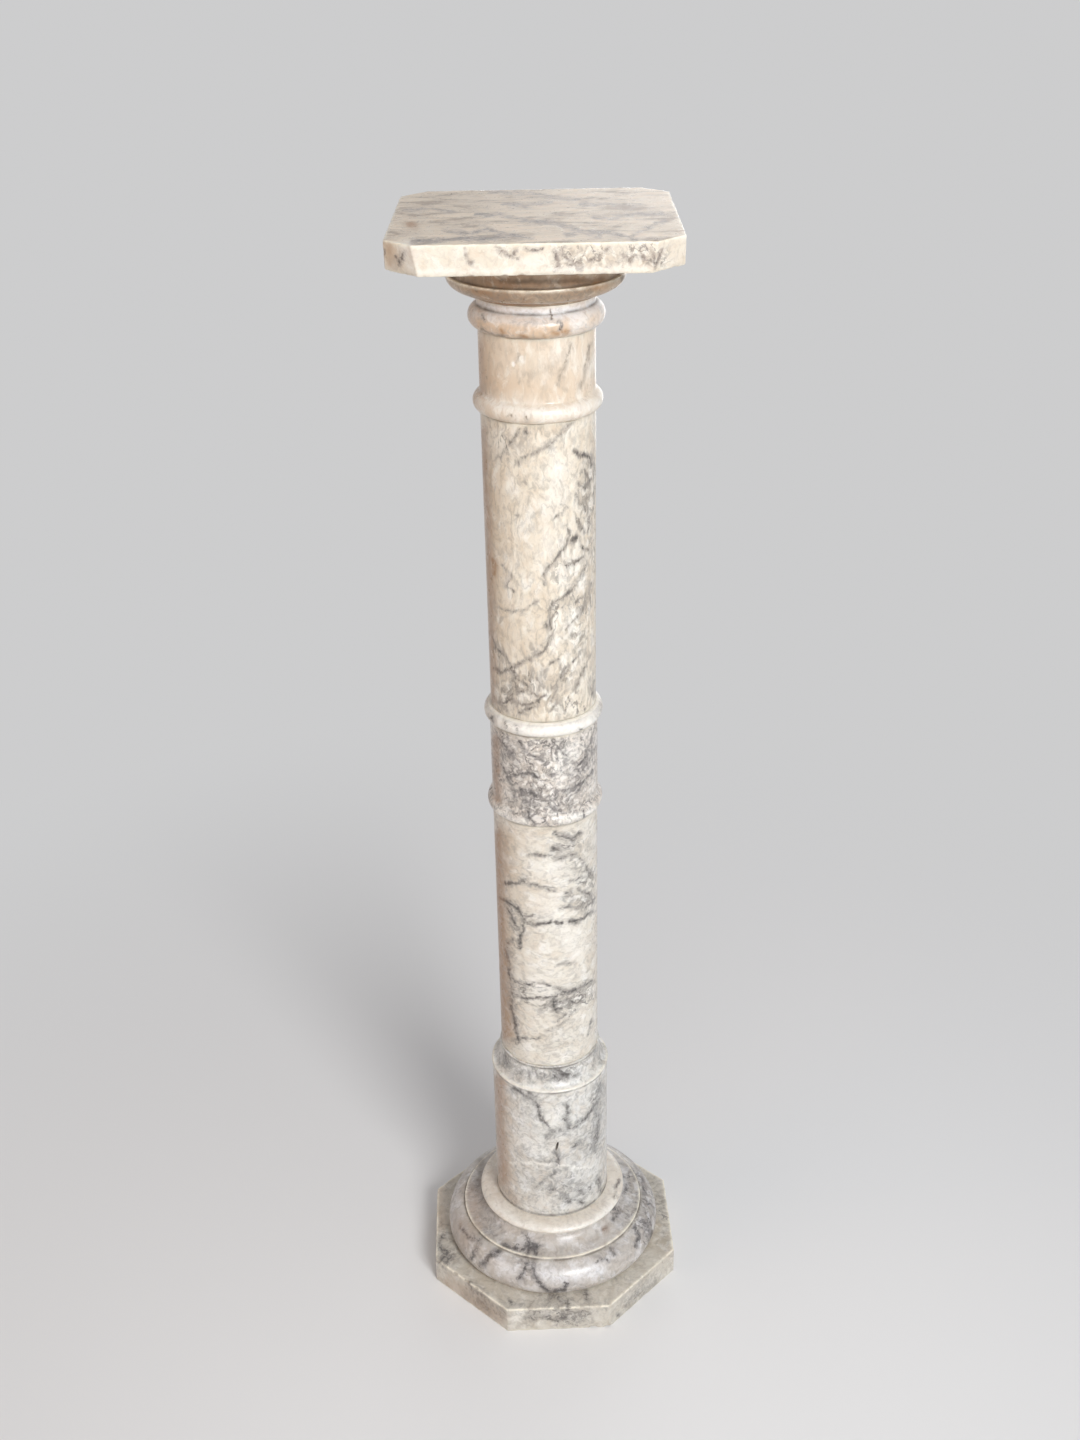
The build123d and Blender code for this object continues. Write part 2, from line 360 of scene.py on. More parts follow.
def worn(points, rubs, fine_zone):
    """Evenly spaced points along a line, with its arrises rubbed round, then thinned out.

    Between the two heights of the fine zone they stay close together.

    Returns the points, and how near each is to an arris and to an inner corner, 0 to 1.
    """
    points = np.array(points, float)
    steps = np.diff(points, axis=0)
    runs = np.hypot(*steps.T)
    along = np.concatenate([[0], np.cumsum(runs)])
    count = int(along[-1] / FINE_STEP)
    even = np.linspace(0, along[-1], count)
    fine = np.stack([np.interp(even, along, points[:, i]) for i in (0, 1)], axis=1)
    turns = np.cross(steps[:-1], steps[1:]) / (runs[:-1] * runs[1:] + 1e-9)
    arris = np.zeros(count)
    corner = np.zeros(count)
    for place, turn in zip(along[1:-1], turns):
        if abs(turn) > LEAST_TURN:
            near = np.exp(-((even - place) / ARRIS_REACH) ** 2) * min(abs(turn) * TURN_GAIN, 1)
            mark = arris if turn > 0 else corner
            np.maximum(mark, near, out=mark)
    for _ in range(rubs):
        fine[1:-1] = fine[1:-1] / 2 + (fine[:-2] + fine[2:]) / 4
    kept = [0]
    heading = fine[1] - fine[0]
    for i in range(1, count - 1):
        ahead = fine[i + 1] - fine[i]
        turned = abs(np.cross(heading, ahead))
        bend = turned / (np.hypot(*heading) * np.hypot(*ahead) + 1e-9)
        gone = np.hypot(*(fine[i] - fine[kept[-1]]))
        limit = FINE_STEP if fine_zone[0] < fine[i, 1] < fine_zone[1] else PLAIN_STEP
        if gone > limit or bend > KEPT_BEND:
            kept.append(i)
            heading = ahead
    kept.append(count - 1)
    return fine[kept], arris[kept], corner[kept]


# Plans: where each segment of a stone's girth lies, for a radius of 1

def half_circle(first, radius, step, counts):
    """Angles of half a circle, from the first, as close as the step and the counts allow."""
    count = int(np.clip(math.pi * radius / step, *counts))
    return first + np.arange(count) * math.pi / count


def round_plan(radius, fine_angle=None):
    """Circle with its front half finer, and finest about one angle in degrees if it is given."""
    angles = np.concatenate([half_circle(0, radius, BACK_STEP, BACK_COUNTS),
                             half_circle(math.pi, radius, FRONT_STEP, FRONT_COUNTS)])
    if fine_angle is not None:
        middle = math.radians(fine_angle)
        reach = PIT_FINE_REACH / radius
        angles = angles[abs(angles - middle) > reach]
        close_by = middle + np.linspace(-reach, reach, PIT_FINE_COUNT)
        angles = np.sort(np.concatenate([angles, close_by]))
    return np.stack([np.cos(angles), np.sin(angles)], axis=1)


def polygon_plan(corners, size, rounding, counts):
    """Closed line through corners given in mm, with rounded corners, for a radius of 1.

    The counts are the segments along one side and the next, in turn.
    """
    corners = np.array(corners, float)
    bends = []
    neighbours = zip(np.roll(corners, 1, axis=0), corners, np.roll(corners, -1, axis=0))
    for before, here, after in neighbours:
        into = (before - here) / np.hypot(*(before - here))
        out = (after - here) / np.hypot(*(after - here))
        back = rounding / math.tan(math.acos(np.clip(into @ out, -1, 1)) / 2)
        bends.append((here + into * back, here, here + out * back))
    points = []
    for i, (first, middle, last) in enumerate(bends):
        for t in np.linspace(0, 1, CORNER_COUNT):
            points.append((1 - t) ** 2 * first + 2 * t * (1 - t) * middle + t ** 2 * last)
        goal = bends[(i + 1) % len(bends)][0]
        count = counts[i % len(counts)]
        for t in np.arange(1, count) / count:
            points.append(last + (goal - last) * t)
    return np.array(points) / size


def octagon_plan():
    reach = PLINTH_HALF / math.cos(math.pi / 8)
    angles = [math.radians(22.5 + 45 * i) for i in range(8)]
    corners = [(reach * math.cos(angle), reach * math.sin(angle)) for angle in angles]
    return polygon_plan(corners, PLINTH_HALF, PLINTH_ROUNDING, PLINTH_SIDE_COUNTS)


def cut_square_plan(cut):
    """The turned plate's plan, with this much off each corner."""
    corners = []
    for i in range(4):
        angle = math.radians(90 * i + PLATE_TURN)
        for y in (cut - PLATE_HALF, PLATE_HALF - cut):
            corners.append((PLATE_HALF * math.cos(angle) - y * math.sin(angle),
                            PLATE_HALF * math.sin(angle) + y * math.cos(angle)))
    return polygon_plan(corners, PLATE_HALF, PLATE_ROUNDING, PLATE_SIDE_COUNTS)


# Stones as meshes

class Stone:
    """One stone's grid of points, in metres, with the marks painted on it."""

    def __init__(self, outline, plan, foot_plan=None, rubs=ROUND_RUBS, fine_zone=(0, 0)):
        self.node = outline.node
        profile, arris, corner = worn(outline.points, rubs, fine_zone)
        foot_plan = plan if foot_plan is None else foot_plan
        self.rings, self.girth = len(profile), len(plan)
        rise = ((profile[:, 1] - outline.low) / (outline.high - outline.low))[:, None, None]
        shape = foot_plan[None] + (plan - foot_plan)[None] * rise
        flat = profile[:, 0][:, None, None] * shape
        height = np.repeat(profile[:, 1][:, None], self.girth, axis=1)[..., None]
        self.places = np.concatenate([flat, height], axis=2).reshape(-1, 3) * MM
        self.marks = {
            "arris": np.repeat(arris, self.girth),
            "corner": np.repeat(corner, self.girth),
        }
        self.foot = outline.low * MM
        self.head = outline.high * MM
        self.normals = self.find_normals()

    def find_normals(self):
        grid = self.places.reshape(self.rings, self.girth, 3)
        around = np.roll(grid, -1, axis=1) - np.roll(grid, 1, axis=1)
        normals = np.cross(around, np.gradient(grid, axis=0))
        length = np.linalg.norm(normals, axis=2, keepdims=True)
        return (normals / np.maximum(length, 1e-12)).reshape(-1, 3)

    def raise_mark(self, name, values, which=slice(None)):
        """Raise a mark at some points, or all, to the values where they are higher."""
        self.marks[name][which] = np.maximum(self.marks[name][which], values)

    def push(self, amount):
        """Move the points in along their normals, by amounts in metres."""
        self.places -= self.normals * amount[:, None]

    def bite(self, centre, radius, mark="grime_and_shade"):
        """Break away the stone inside a rough ball, in metres."""
        away = self.places - centre
        apart = np.linalg.norm(away, axis=1)
        near = np.flatnonzero(apart < radius * (1 + 2 * BREAK_ROUGHNESS))
        rough = np.array([noise.noise(Vector(self.places[i]) * BREAK_SCALE) for i in near])
        shell = radius * (1 + BREAK_ROUGHNESS * rough)
        inside = apart[near] < shell
        near, shell = near[inside], shell[inside]
        self.places[near] = centre + away[near] / apart[near][:, None] * shell[:, None]
        self.raise_mark(mark, BREAK_WHITE if mark == "white" else BREAK_DARKENING, near)
        self.marks["arris"][near] *= BREAK_ARRIS

    def mesh(self):
        """The grid as a closed mesh, with a fan over each bed."""
        count = len(self.places)
        ends = np.array([[0, 0, self.foot], [0, 0, self.head]])
        mesh = bpy.data.meshes.new(self.node + "_stone")
        ring = np.arange(self.girth)
        after = np.roll(ring, -1)
        level = (np.arange(self.rings - 1) * self.girth)[:, None]
        above = level + self.girth
        quads = np.stack([level + ring, level + after, above + after, above + ring], axis=2)
        top = (self.rings - 1) * self.girth
        fans = [(int(b), int(a), count) for a, b in zip(ring, after)]
        fans += [(int(top + a), int(top + b), count + 1) for a, b in zip(ring, after)]
        faces = quads.reshape(-1, 4).tolist() + fans
        mesh.from_pydata(np.concatenate([self.places, ends]).tolist(), [], faces)
        for name, values in self.marks.items():
            layer = mesh.attributes.new(name, "FLOAT", "POINT")
            values = np.concatenate([values, [0, 0]]).astype(np.float32)
            layer.data.foreach_set("value", values)
        mesh.polygons.foreach_set("use_smooth", [True] * len(mesh.polygons))
        mesh.update()
        return mesh


def make_stones():
    stones = []
    pit_reach = PIT_HALF_HEIGHT + PIT_MARGIN
    for outline in turned_outlines():
        widest = max(radius for radius, _ in outline.points)
        if outline.node == "lower_drum":
            fine_zone = (PIT_LEVEL - pit_reach, PIT_LEVEL + pit_reach)
            stones.append(Stone(outline, round_plan(widest, PIT_ANGLE), fine_zone=fine_zone))
        else:
            stones.append(Stone(outline, round_plan(widest)))
    plinth = slab_outline("plinth", PLINTH_HALF, PLINTH_RIMS)
    stones.append(Stone(plinth, octagon_plan(), rubs=PLINTH_RUBS))
    plate = slab_outline("top_plate", PLATE_HALF, PLATE_RIMS)
    head_plan, foot_plan = cut_square_plan(PLATE_HEAD_CUT), cut_square_plan(PLATE_FOOT_CUT)
    stones.append(Stone(plate, head_plan, foot_plan, rubs=PLATE_RUBS))
    return {stone.node: stone for stone in stones}


# Materials

class Tree:
    """Short ways to add shader nodes to a material or a world."""

    def __init__(self, owner):
        owner.use_nodes = True
        self.nodes = owner.node_tree.nodes
        self.links = owner.node_tree.links
        self.nodes.clear()

    def add(self, kind, inputs=(), **settings):
        made = self.nodes.new("ShaderNode" + kind)
        for name, value in settings.items():
            setattr(made, name, value)
        for key, value in dict(inputs).items():
            if isinstance(value, bpy.types.NodeSocket):
                self.links.new(value, made.inputs[key])
            else:
                made.inputs[key].default_value = value
        return made

    def maths(self, operation, *values, clamp=False):
        inputs = dict(enumerate(values))
        return self.add("Math", inputs, operation=operation, use_clamp=clamp).outputs[0]

    def times(self, one, two):
        return self.maths("MULTIPLY", one, two)

    def plus(self, one, two, clamp=False):
        return self.maths("ADD", one, two, clamp=clamp)

    def minus(self, one, two):
        return self.maths("SUBTRACT", one, two)

    def off_middle(self, value):
        """How far a noise is from its middle value, either way."""
        return self.maths("ABSOLUTE", self.minus(value, 0.5))

    def vector(self, operation, inputs):
        return self.add("VectorMath", inputs, operation=operation).outputs[0]

    def ramp(self, value, low, high, out_low=0.0, out_high=1.0):
        """Smooth step from one level to another."""
        inputs = {0: value, 1: low, 2: high, 3: out_low, 4: out_high}
        return self.add("MapRange", inputs, interpolation_type="SMOOTHSTEP").outputs[0]

    def mix(self, share, one, two):
        return self.add("Mix", {0: share, 6: one, 7: two}, data_type="RGBA").outputs[2]

    def noise(self, place, scale, detail, rough=0.55, distortion=0.0, output="Fac"):
        inputs = {"Vector": place, "Scale": scale, "Detail": detail, "Roughness": rough,
                  "Distortion": distortion}
        return self.add("TexNoise", inputs).outputs[output]

    def cells(self, place, scale):
        """Distance to the edges of cells."""
        inputs = {"Vector": place, "Scale": scale}
        return self.add("TexVoronoi", inputs, feature="DISTANCE_TO_EDGE").outputs[0]

    def mark(self, name):
        settings = {"attribute_name": name, "attribute_type": "GEOMETRY"}
        return self.add("Attribute", **settings).outputs["Fac"]

    def seen_rays(self):
        """1 on rays from the camera, straight or by way of gloss or glass."""
        rays = self.add("LightPath").outputs
        share = rays["Is Camera Ray"]
        for name in ("Is Glossy Ray", "Is Transmission Ray"):
            share = self.plus(share, rays[name], clamp=True)
        return share

    def end(self, shader, kind="Material"):
        self.add("Output" + kind, {0: shader.outputs[0]})


def colour(red, green, blue):
    """Linear colour from a colour as seen on screen, 0 to 255."""
    return tuple(((c / 255 + 0.055) / 1.055) ** 2.4 for c in (red, green, blue)) + (1.0,)


# Colours that all stones share
STREAK_GROUND = (228, 208, 182)
STREAK_DARK = (162, 142, 122)
STREAK_LIGHT = (242, 220, 194)
STREAK_SEAM = (136, 120, 108)
# Orange brown of stains, and of painted warm shade on the sides turned from the light
WARM_SHADE_AND_STAIN = (158, 108, 50)
# Pale colour of arrises: rubbed wear with a painted highlight
RUBBED_AND_LIT = (252, 244, 226)
# Dark colour of grime and of painted shade in corners, joints and under rings
SHADE_AND_GRIME = (70, 58, 46)

# Two sizes of wander bend every pattern: scale and detail of the noise, and reach in metres
WANDERS = [(38.0, 3.0, 0.022), (190.0, 4.0, 0.0085)]

# Fine cells to a coarse one
FINE_CELLS = 2.2

# Slant and stretch of the plate's streaks
STREAK_TURN = (0, 0, 0.09)
STREAK_STRETCH = (25, 64, 25)

# Polish and relief, set on the shader as they are
POLISH = {
    "IOR": 1.5,
    "Subsurface Weight": 0.1,
    "Subsurface Radius": (1.0, 0.72, 0.5),
    "Subsurface Scale": 0.005,
    "Coat Weight": 0.2,
    "Coat Roughness": 0.2,
}
RELIEF = {"Strength": 0.14, "Distance": 0.0004}


class Marble:
    """A stone's material. Each layer is laid over the body colour in turn."""

    def __init__(self, name, look):
        self.material = bpy.data.materials.new(name)
        self.tree = tree = Tree(self.material)
        self.look = look
        self.place = tree.add("TexCoord").outputs["Object"]
        self.bent = self.bend()
        self.broad = tree.noise(self.bent, 16.0, 5.0)
        self.mottled = tree.noise(self.bent, 85.0, 6.0, 0.62)
        self.speckled = tree.noise(self.bent, 260.0, 4.0, 0.6)
        self.fade = tree.noise(self.bent, 46.0, 4.0)
        self.coarse = tree.cells(self.bent, look["cells"])
        self.fine = tree.cells(self.bent, look["cells"] * FINE_CELLS)
        self.grain = tree.ramp(self.speckled, 0.36, 0.6, 1.0, 0.4)
        self.lay_ground()
        self.lay_cells()
        if look["streaks"]:
            self.lay_streaks()
        net = self.lay_net()
        self.lay_contours()
        drawn = self.lay_marks()
        grime_and_shade = self.lay_wear()
        self.polish(net, drawn, grime_and_shade)

    def lay(self, share, shade):
        """Lay a colour over the body: one of the look's, by its name, or one of all stones."""
        shade = self.look[shade] if isinstance(shade, str) else shade
        self.body = self.tree.mix(share, self.body, colour(*shade))

    def bend(self):
        """The stone's own coordinates, bent by the wanders."""
        look, tree = self.look, self.tree
        inputs = {0: self.place, 1: look["shift"], 2: look["lean"], 3: look["stretch"]}
        bent = moved = tree.add("Mapping", inputs).outputs[0]
        for scale, detail, reach in WANDERS:
            swirl = tree.noise(moved, scale, detail, output="Color")
            wander = tree.vector("SUBTRACT", {0: swirl, 1: (0.5, 0.5, 0.5)})
            wander = tree.vector("SCALE", {0: wander, 3: reach})
            bent = tree.vector("ADD", {0: bent, 1: wander})
        return bent

    def lay_ground(self):
        """Pale, warm and white patches, the painted warm ones mostly painted warm shade, then soft
        grey clouds.
        """
        look, tree = self.look, self.tree
        warm = tree.ramp(self.broad, 0.42, 0.66, 0.0, look["warm"])
        # The painted warm mark is mostly painted warm shade on the sides turned from the light
        warm = tree.plus(warm, tree.mark("warm"), clamp=True)
        self.body = tree.mix(warm, colour(*look["pale"]), colour(*look["warm_colour"]))
        self.lay(tree.ramp(self.mottled, 0.34, 0.5, 0.4, 0.0), "warm_colour")
        self.lay(tree.ramp(self.mottled, 0.5, 0.66, 0.0, 0.65), "white")
        cloud = tree.noise(self.bent, 30.0, 6.0, 0.6)
        cloud = tree.ramp(cloud, 0.5, 0.72, 0.0, look["cloud"])
        cloud = tree.plus(cloud, tree.mark("cloud"), clamp=True)
        self.lay(tree.times(cloud, self.grain), "grey")

    def lay_cells(self):
        """Faint pale cells all over."""
        tree = self.tree
        coarse = tree.ramp(self.coarse, 0.0, 0.22, 1.0, 0.0)
        fine = tree.ramp(self.fine, 0.0, 0.16, 0.6, 0.0)
        share = tree.ramp(self.speckled, 0.36, 0.62, self.look["ground"], 0.0)
        self.lay(tree.times(tree.maths("MAXIMUM", coarse, fine), share), "grey")

    def lay_streaks(self):
        """Streaks over the plate's flat top."""
        tree = self.tree
        inputs = {0: self.place, 2: STREAK_TURN, 3: STREAK_STRETCH}
        drawn_out = tree.add("Mapping", inputs).outputs[0]
        streak = tree.noise(drawn_out, 1.0, 7.0, 0.66, 0.5)
        upward = tree.times(tree.mark("upward"), self.look["streaks"])
        self.lay(tree.times(upward, 0.75), STREAK_GROUND)
        self.lay(tree.times(tree.ramp(streak, 0.5, 0.62, 0.0, 0.95), upward), STREAK_DARK)
        self.lay(tree.times(tree.ramp(streak, 0.38, 0.48, 0.8, 0.0), upward), STREAK_LIGHT)
        seam = tree.ramp(tree.off_middle(streak), 0.0, 0.016, 0.65, 0.0)
        seam = tree.times(tree.times(seam, upward), tree.ramp(self.broad, 0.42, 0.56))
        self.lay(seam, STREAK_SEAM)

    def lay_net(self):
        """Net of soft veins round pale cells in two sizes, broken up where the stone is clear."""
        tree = self.tree
        web = tree.mark("web")
        wide = tree.ramp(self.coarse, 0.04, 0.26, 0.95, 0.0)
        thin = tree.ramp(self.fine, 0.02, 0.2, 0.8, 0.0)
        share = tree.ramp(self.speckled, 0.36, 0.58, 1.0, 0.3)
        net = tree.times(tree.maths("MAXIMUM", wide, thin), share)
        net = tree.times(net, tree.times(web, tree.ramp(self.fade, 0.36, 0.6)))
        self.lay(tree.times(tree.ramp(self.coarse, 0.12, 0.3), tree.times(web, 0.75)), "white")
        self.lay(tree.times(net, self.look["net"]), "vein")
        return net

    def lay_contours(self):
        """Thin veins along the contours of a slow noise."""
        tree = self.tree
        ridge = tree.off_middle(tree.noise(self.bent, 21.0, 6.0))
        ridge = tree.plus(ridge, tree.times(tree.minus(self.speckled, 0.5), 0.05))
        share = tree.ramp(tree.times(tree.mark("web"), self.fade), 0.06, 0.3, 0.0, 0.75)
        self.lay(tree.times(tree.ramp(ridge, 0.001, 0.012, 1.0, 0.0), share), "vein")

    def lay_marks(self):
        """Veins, stains and white spots that are painted on the mesh, with painted warm shade among
        the stains and painted highlights among the white spots.
        """
        tree = self.tree
        vein = tree.mark("vein")
        rough_edge = tree.noise(self.bent, 300.0, 4.0, 0.65)
        uneven = tree.ramp(tree.noise(self.bent, 75.0, 3.0), 0.34, 0.66, 0.7, 1.12)
        field = tree.times(vein, uneven)
        field = tree.plus(field, tree.times(tree.minus(rough_edge, 0.5), 1.3))
        drawn = tree.ramp(field, 0.42, 0.8)
        self.lay(tree.times(tree.ramp(vein, 0.05, 0.65, 0.0, 0.85), self.grain), "grey")
        self.lay(tree.times(drawn, 0.75), "vein")
        self.lay(tree.ramp(field, 0.72, 1.05, 0.0, 0.85), "knot")
        speckle = tree.ramp(self.speckled, 0.35, 0.6, 0.6, 1.0)
        # Stains, and painted warm shade on the sides turned from the light
        self.lay(tree.times(tree.mark("stain_and_shade"), speckle), WARM_SHADE_AND_STAIN)
        speckle = tree.ramp(self.speckled, 0.36, 0.6, 0.55, 1.0)
        white = tree.times(tree.mark("white"), speckle)
        # White spots and chips, and painted highlights and reflections along rings, rims and the
        # cove
        self.lay(tree.times(white, tree.minus(1.0, drawn)), "bright")
        return drawn

    def lay_wear(self):
        """Arrises are pale, as rubbed wear and as a painted highlight, and grime and painted shade
        darken the corners and joints.
        """
        tree = self.tree
        # Pale arrises: rubbed wear, and a painted highlight where edges catch the light
        edge_sheen_and_wear = tree.ramp(self.mottled, 0.35, 0.6, 0.35, 0.95)
        self.lay(tree.times(tree.mark("arris"), edge_sheen_and_wear), RUBBED_AND_LIT)
        # Grime and painted shade, in corners, joints, pits and breaks
        patchiness = tree.ramp(tree.noise(self.place, 60.0, 4.0), 0.35, 0.62, 0.45, 1.0)
        grime_and_shade = tree.times(tree.mark("grime_and_shade"), patchiness)
        self.lay(grime_and_shade, SHADE_AND_GRIME)
        return grime_and_shade

    def polish(self, net, drawn, grime_and_shade):
        """Polish, a little duller over veins and over the grime and painted shade, with fine pits.
        """
        tree = self.tree
        rough = tree.ramp(tree.noise(self.place, 220.0, 5.0), 0.3, 0.7, 0.26, 0.4)
        rough = tree.plus(rough, tree.times(grime_and_shade, 0.3))
        rough = tree.plus(rough, tree.times(net, 0.08), clamp=True)
        pits = tree.ramp(tree.noise(self.place, 900.0, 3.0), 0.28, 0.4)
        relief = tree.minus(pits, tree.times(drawn, 0.6))
        relief = tree.plus(relief, tree.times(self.mottled, 0.5))
        bump = tree.add("Bump", {"Height": relief, **RELIEF}).outputs[0]
        inputs = {"Base Color": self.body, "Roughness": rough, "Normal": bump, **POLISH}
        tree.end(tree.add("BsdfPrincipled", inputs))


# Looks: five colours of the stone as seen on screen, and what differs from the plain look.
# The strengths are of the warm patches, clouds, net and faint cells, and cells is a scale

COLOURS = ("pale", "warm_colour", "white", "grey", "vein")
PLAIN = dict(warm=0.5, cloud=0.3, net=0.7, cells=85.0, ground=0.4, streaks=0.0,
             knot=(76, 72, 70), bright=(252, 249, 242),
             shift=(0, 0, 0), lean=(0, 0, 0), stretch=(1, 1, 1))


def make_look(*colours, **changes):
    return {**PLAIN, **dict(zip(COLOURS, colours)), **changes}


LOOKS = {
    "top_plate": make_look(
        (236, 227, 211), (220, 198, 171), (247, 242, 231), (168, 155, 146), (138, 126, 117),
        warm=0.4, cloud=0.15, net=0.85, cells=150.0, ground=0.2, streaks=1.0,
        shift=(0.3, 0.1, 0.2)),
    # The capital's colours are darker and browner than the rest: painted shade under the plate
    "capital": make_look(
        (198, 176, 150), (166, 133, 102), (224, 208, 188), (134, 121, 106), (96, 82, 68),
        warm=0.7, cloud=0.3, net=0.4, shift=(0.7, 0.2, 0.4)),
    # The collar's cool bright colour is a painted reflection on its neck band
    "collar": make_look(
        (228, 216, 204), (218, 192, 164), (242, 238, 234), (170, 162, 156), (112, 103, 97),
        warm=0.5, cloud=0.3, net=0.5, cells=120.0, bright=(238, 238, 240), shift=(0.1, 0.6, 0.4)),
    "neck_drum": make_look(
        (232, 219, 201), (218, 194, 167), (245, 239, 228), (182, 168, 152), (158, 143, 127),
        warm=0.6, cloud=0.25, net=0.4, ground=0.35, shift=(0.9, 0.3, 0.1), lean=(0, 0.6, 0),
        stretch=(1.0, 1.0, 0.45)),
    "upper_shaft": make_look(
        (238, 228, 211), (216, 196, 169), (250, 246, 237), (170, 161, 151), (130, 122, 114),
        warm=0.45, cloud=0.2, net=0.9, cells=105.0, ground=0.42, shift=(0.2, 0.5, 0.3),
        lean=(0, 0.55, 0), stretch=(1.1, 1.0, 0.6)),
    "middle_ring": make_look(
        (242, 237, 228), (228, 214, 196), (250, 247, 242), (160, 155, 150), (110, 104, 100),
        warm=0.3, cloud=0.2, net=0.6, ground=0.3, shift=(0.5, 0.2, 0.8)),
    "middle_drum": make_look(
        (228, 220, 210), (212, 197, 181), (245, 241, 235), (146, 141, 138), (108, 103, 101),
        warm=0.35, cloud=0.5, net=0.95, cells=140.0, ground=0.7, shift=(0.4, 0.9, 0.3),
        lean=(0, 0.3, 0)),
    "lower_shaft": make_look(
        (234, 228, 216), (216, 200, 179), (249, 246, 240), (166, 160, 153), (118, 113, 109),
        warm=0.4, cloud=0.25, net=0.85, cells=95.0, ground=0.35, knot=(66, 64, 63),
        shift=(0.8, 0.1, 0.6), stretch=(0.7, 1.0, 1.1)),
    "lower_drum": make_look(
        (226, 224, 218), (210, 195, 176), (245, 244, 242), (156, 154, 151), (118, 114, 112),
        warm=0.35, cloud=0.45, net=0.85, cells=100.0, ground=0.45, shift=(0.3, 0.3, 0.7),
        lean=(0, -0.5, 0)),
    "foot_ring": make_look(
        (232, 224, 212), (212, 197, 178), (244, 238, 228), (162, 154, 147), (112, 104, 98),
        warm=0.3, cloud=0.3, net=0.5, ground=0.2, shift=(0.6, 0.8, 0.2)),
    # The base's cool bright colour is laid by its white marks, most of them painted highlights on
    # the torus and in the cove
    "base_moulding": make_look(
        (202, 196, 189), (176, 162, 147), (228, 226, 226), (132, 127, 125), (92, 88, 88),
        warm=0.35, cloud=0.55, net=0.75, cells=90.0, ground=0.22, bright=(240, 240, 243),
        shift=(0.1, 0.2, 0.9)),
    "plinth": make_look(
        (210, 204, 192), (184, 171, 152), (226, 221, 212), (128, 122, 117), (94, 89, 86),
        warm=0.35, cloud=0.7, net=0.7, cells=90.0, ground=0.22, shift=(0.5, 0.4, 0.1)),
}


# Marks of the stones as the photograph shows them. Each is a half-width in pixels, a strength
# from 0 to 1, and the points of a line in pixels of the photograph

MARKS = {}

MARKS["top_plate"] = dict(vein=[
    (1.0, 0.85, (412, 241.6), (439, 240.3), (458, 238.4), (479, 238.8), (505, 237)),
    (0.8, 0.8, (475, 214), (500, 215), (521, 219.5), (549, 222.6), (570, 226.8), (583, 232),
     (612, 233), (637, 239.5)),
    (0.8, 0.75, (593, 217.4), (610, 218.4), (627, 215.2), (662, 213)),
    (0.7, 0.75, (633, 235.2), (650, 227), (665, 220.5)),
    (0.7, 0.72, (488, 191), (530, 193.2), (555, 197.4), (580, 199.5)),
    (0.7, 0.72, (503, 203.7), (526, 205.8), (551, 201.6)),
    (0.7, 0.7, (580, 203.7), (610, 204.5), (641, 203.7)),
    (0.7, 0.75, (444, 231), (471, 233), (488, 229), (506, 235), (534, 238.5)),
    (0.7, 0.7, (402, 210), (433, 209), (454, 212)), (0.8, 0.75, (566, 235), (583, 232), (600, 236)),
    (0.8, 0.72, (465, 248), (466, 253), (466.5, 258)), (1.5, 0.75, (470.5, 262), (471.5, 262)),
    (0.8, 0.8, (496.3, 246), (504, 251), (510, 256.5), (515, 251), (518, 250)),
    (1.2, 0.8, (515, 257), (516, 258)), (0.7, 0.75, (525.7, 248), (533, 250), (542.6, 248.9)),
    (0.8, 0.78, (555, 252), (559.4, 260.5), (555.2, 271)),
    (0.8, 0.75, (565.7, 246), (561.5, 254.2), (572, 262.6), (580.5, 271)),
    (0.7, 0.75, (588.9, 260.5), (599.4, 256.3), (610, 248)),
    (1.2, 0.8, (607.3, 266.8), (608.3, 266.8)), (1.2, 0.75, (582, 267), (583, 267)),
    (0.8, 0.75, (620.5, 254.2), (629, 260.5), (635.2, 254.2)),
    (0.8, 0.78, (641.5, 254.2), (647.8, 264.7), (654, 256.3), (656.2, 266.8), (661.5, 250)),
    (1.4, 0.8, (399, 265), (401.6, 259), (404, 254)), (1.0, 0.8, (396, 258), (399, 264)),
], cloud=[
    (3.0, 0.45, (430, 204), (470, 206), (520, 201), (590, 198)),
    (2.5, 0.5, (469, 212), (475, 202), (482, 194)),
    (3.0, 0.45, (500, 226), (560, 231), (600, 237), (640, 238)),
    (2.5, 0.4, (402, 233), (428, 231), (460, 235)), (2.0, 0.5, (600, 209), (640, 211), (668, 207)),
    (4.0, 0.3, (399, 262), (403, 256)), (5.0, 0.25, (560, 262), (590, 262), (650, 258)),
], stain_and_shade=[
    # The spot is a stain; the strokes down the left chamfer are painted warm shade
    (4.0, 0.95, (409, 224.5), (414, 224.5)), (3.0, 0.35, (411, 246), (413, 262)),
    (5.0, 0.4, (388, 246), (390, 262)),
], warm=[
    # The first warm stroke, on the left chamfer, is painted warm shade
    (14.0, 0.6, (392, 252), (400, 258)), (8.0, 0.5, (424, 206), (440, 222)),
    (7.0, 0.5, (655, 199), (664, 203)),
], white=[
    (3.0, 0.5, (420, 272), (650, 269)), (7.0, 0.5, (520, 263), (545, 262)),
    (7.0, 0.6, (407, 247), (412, 266)),
], web=[
    (14.0, 0.85, (560, 258), (600, 258), (655, 256)), (6.0, 0.6, (500, 250), (540, 249)),
])

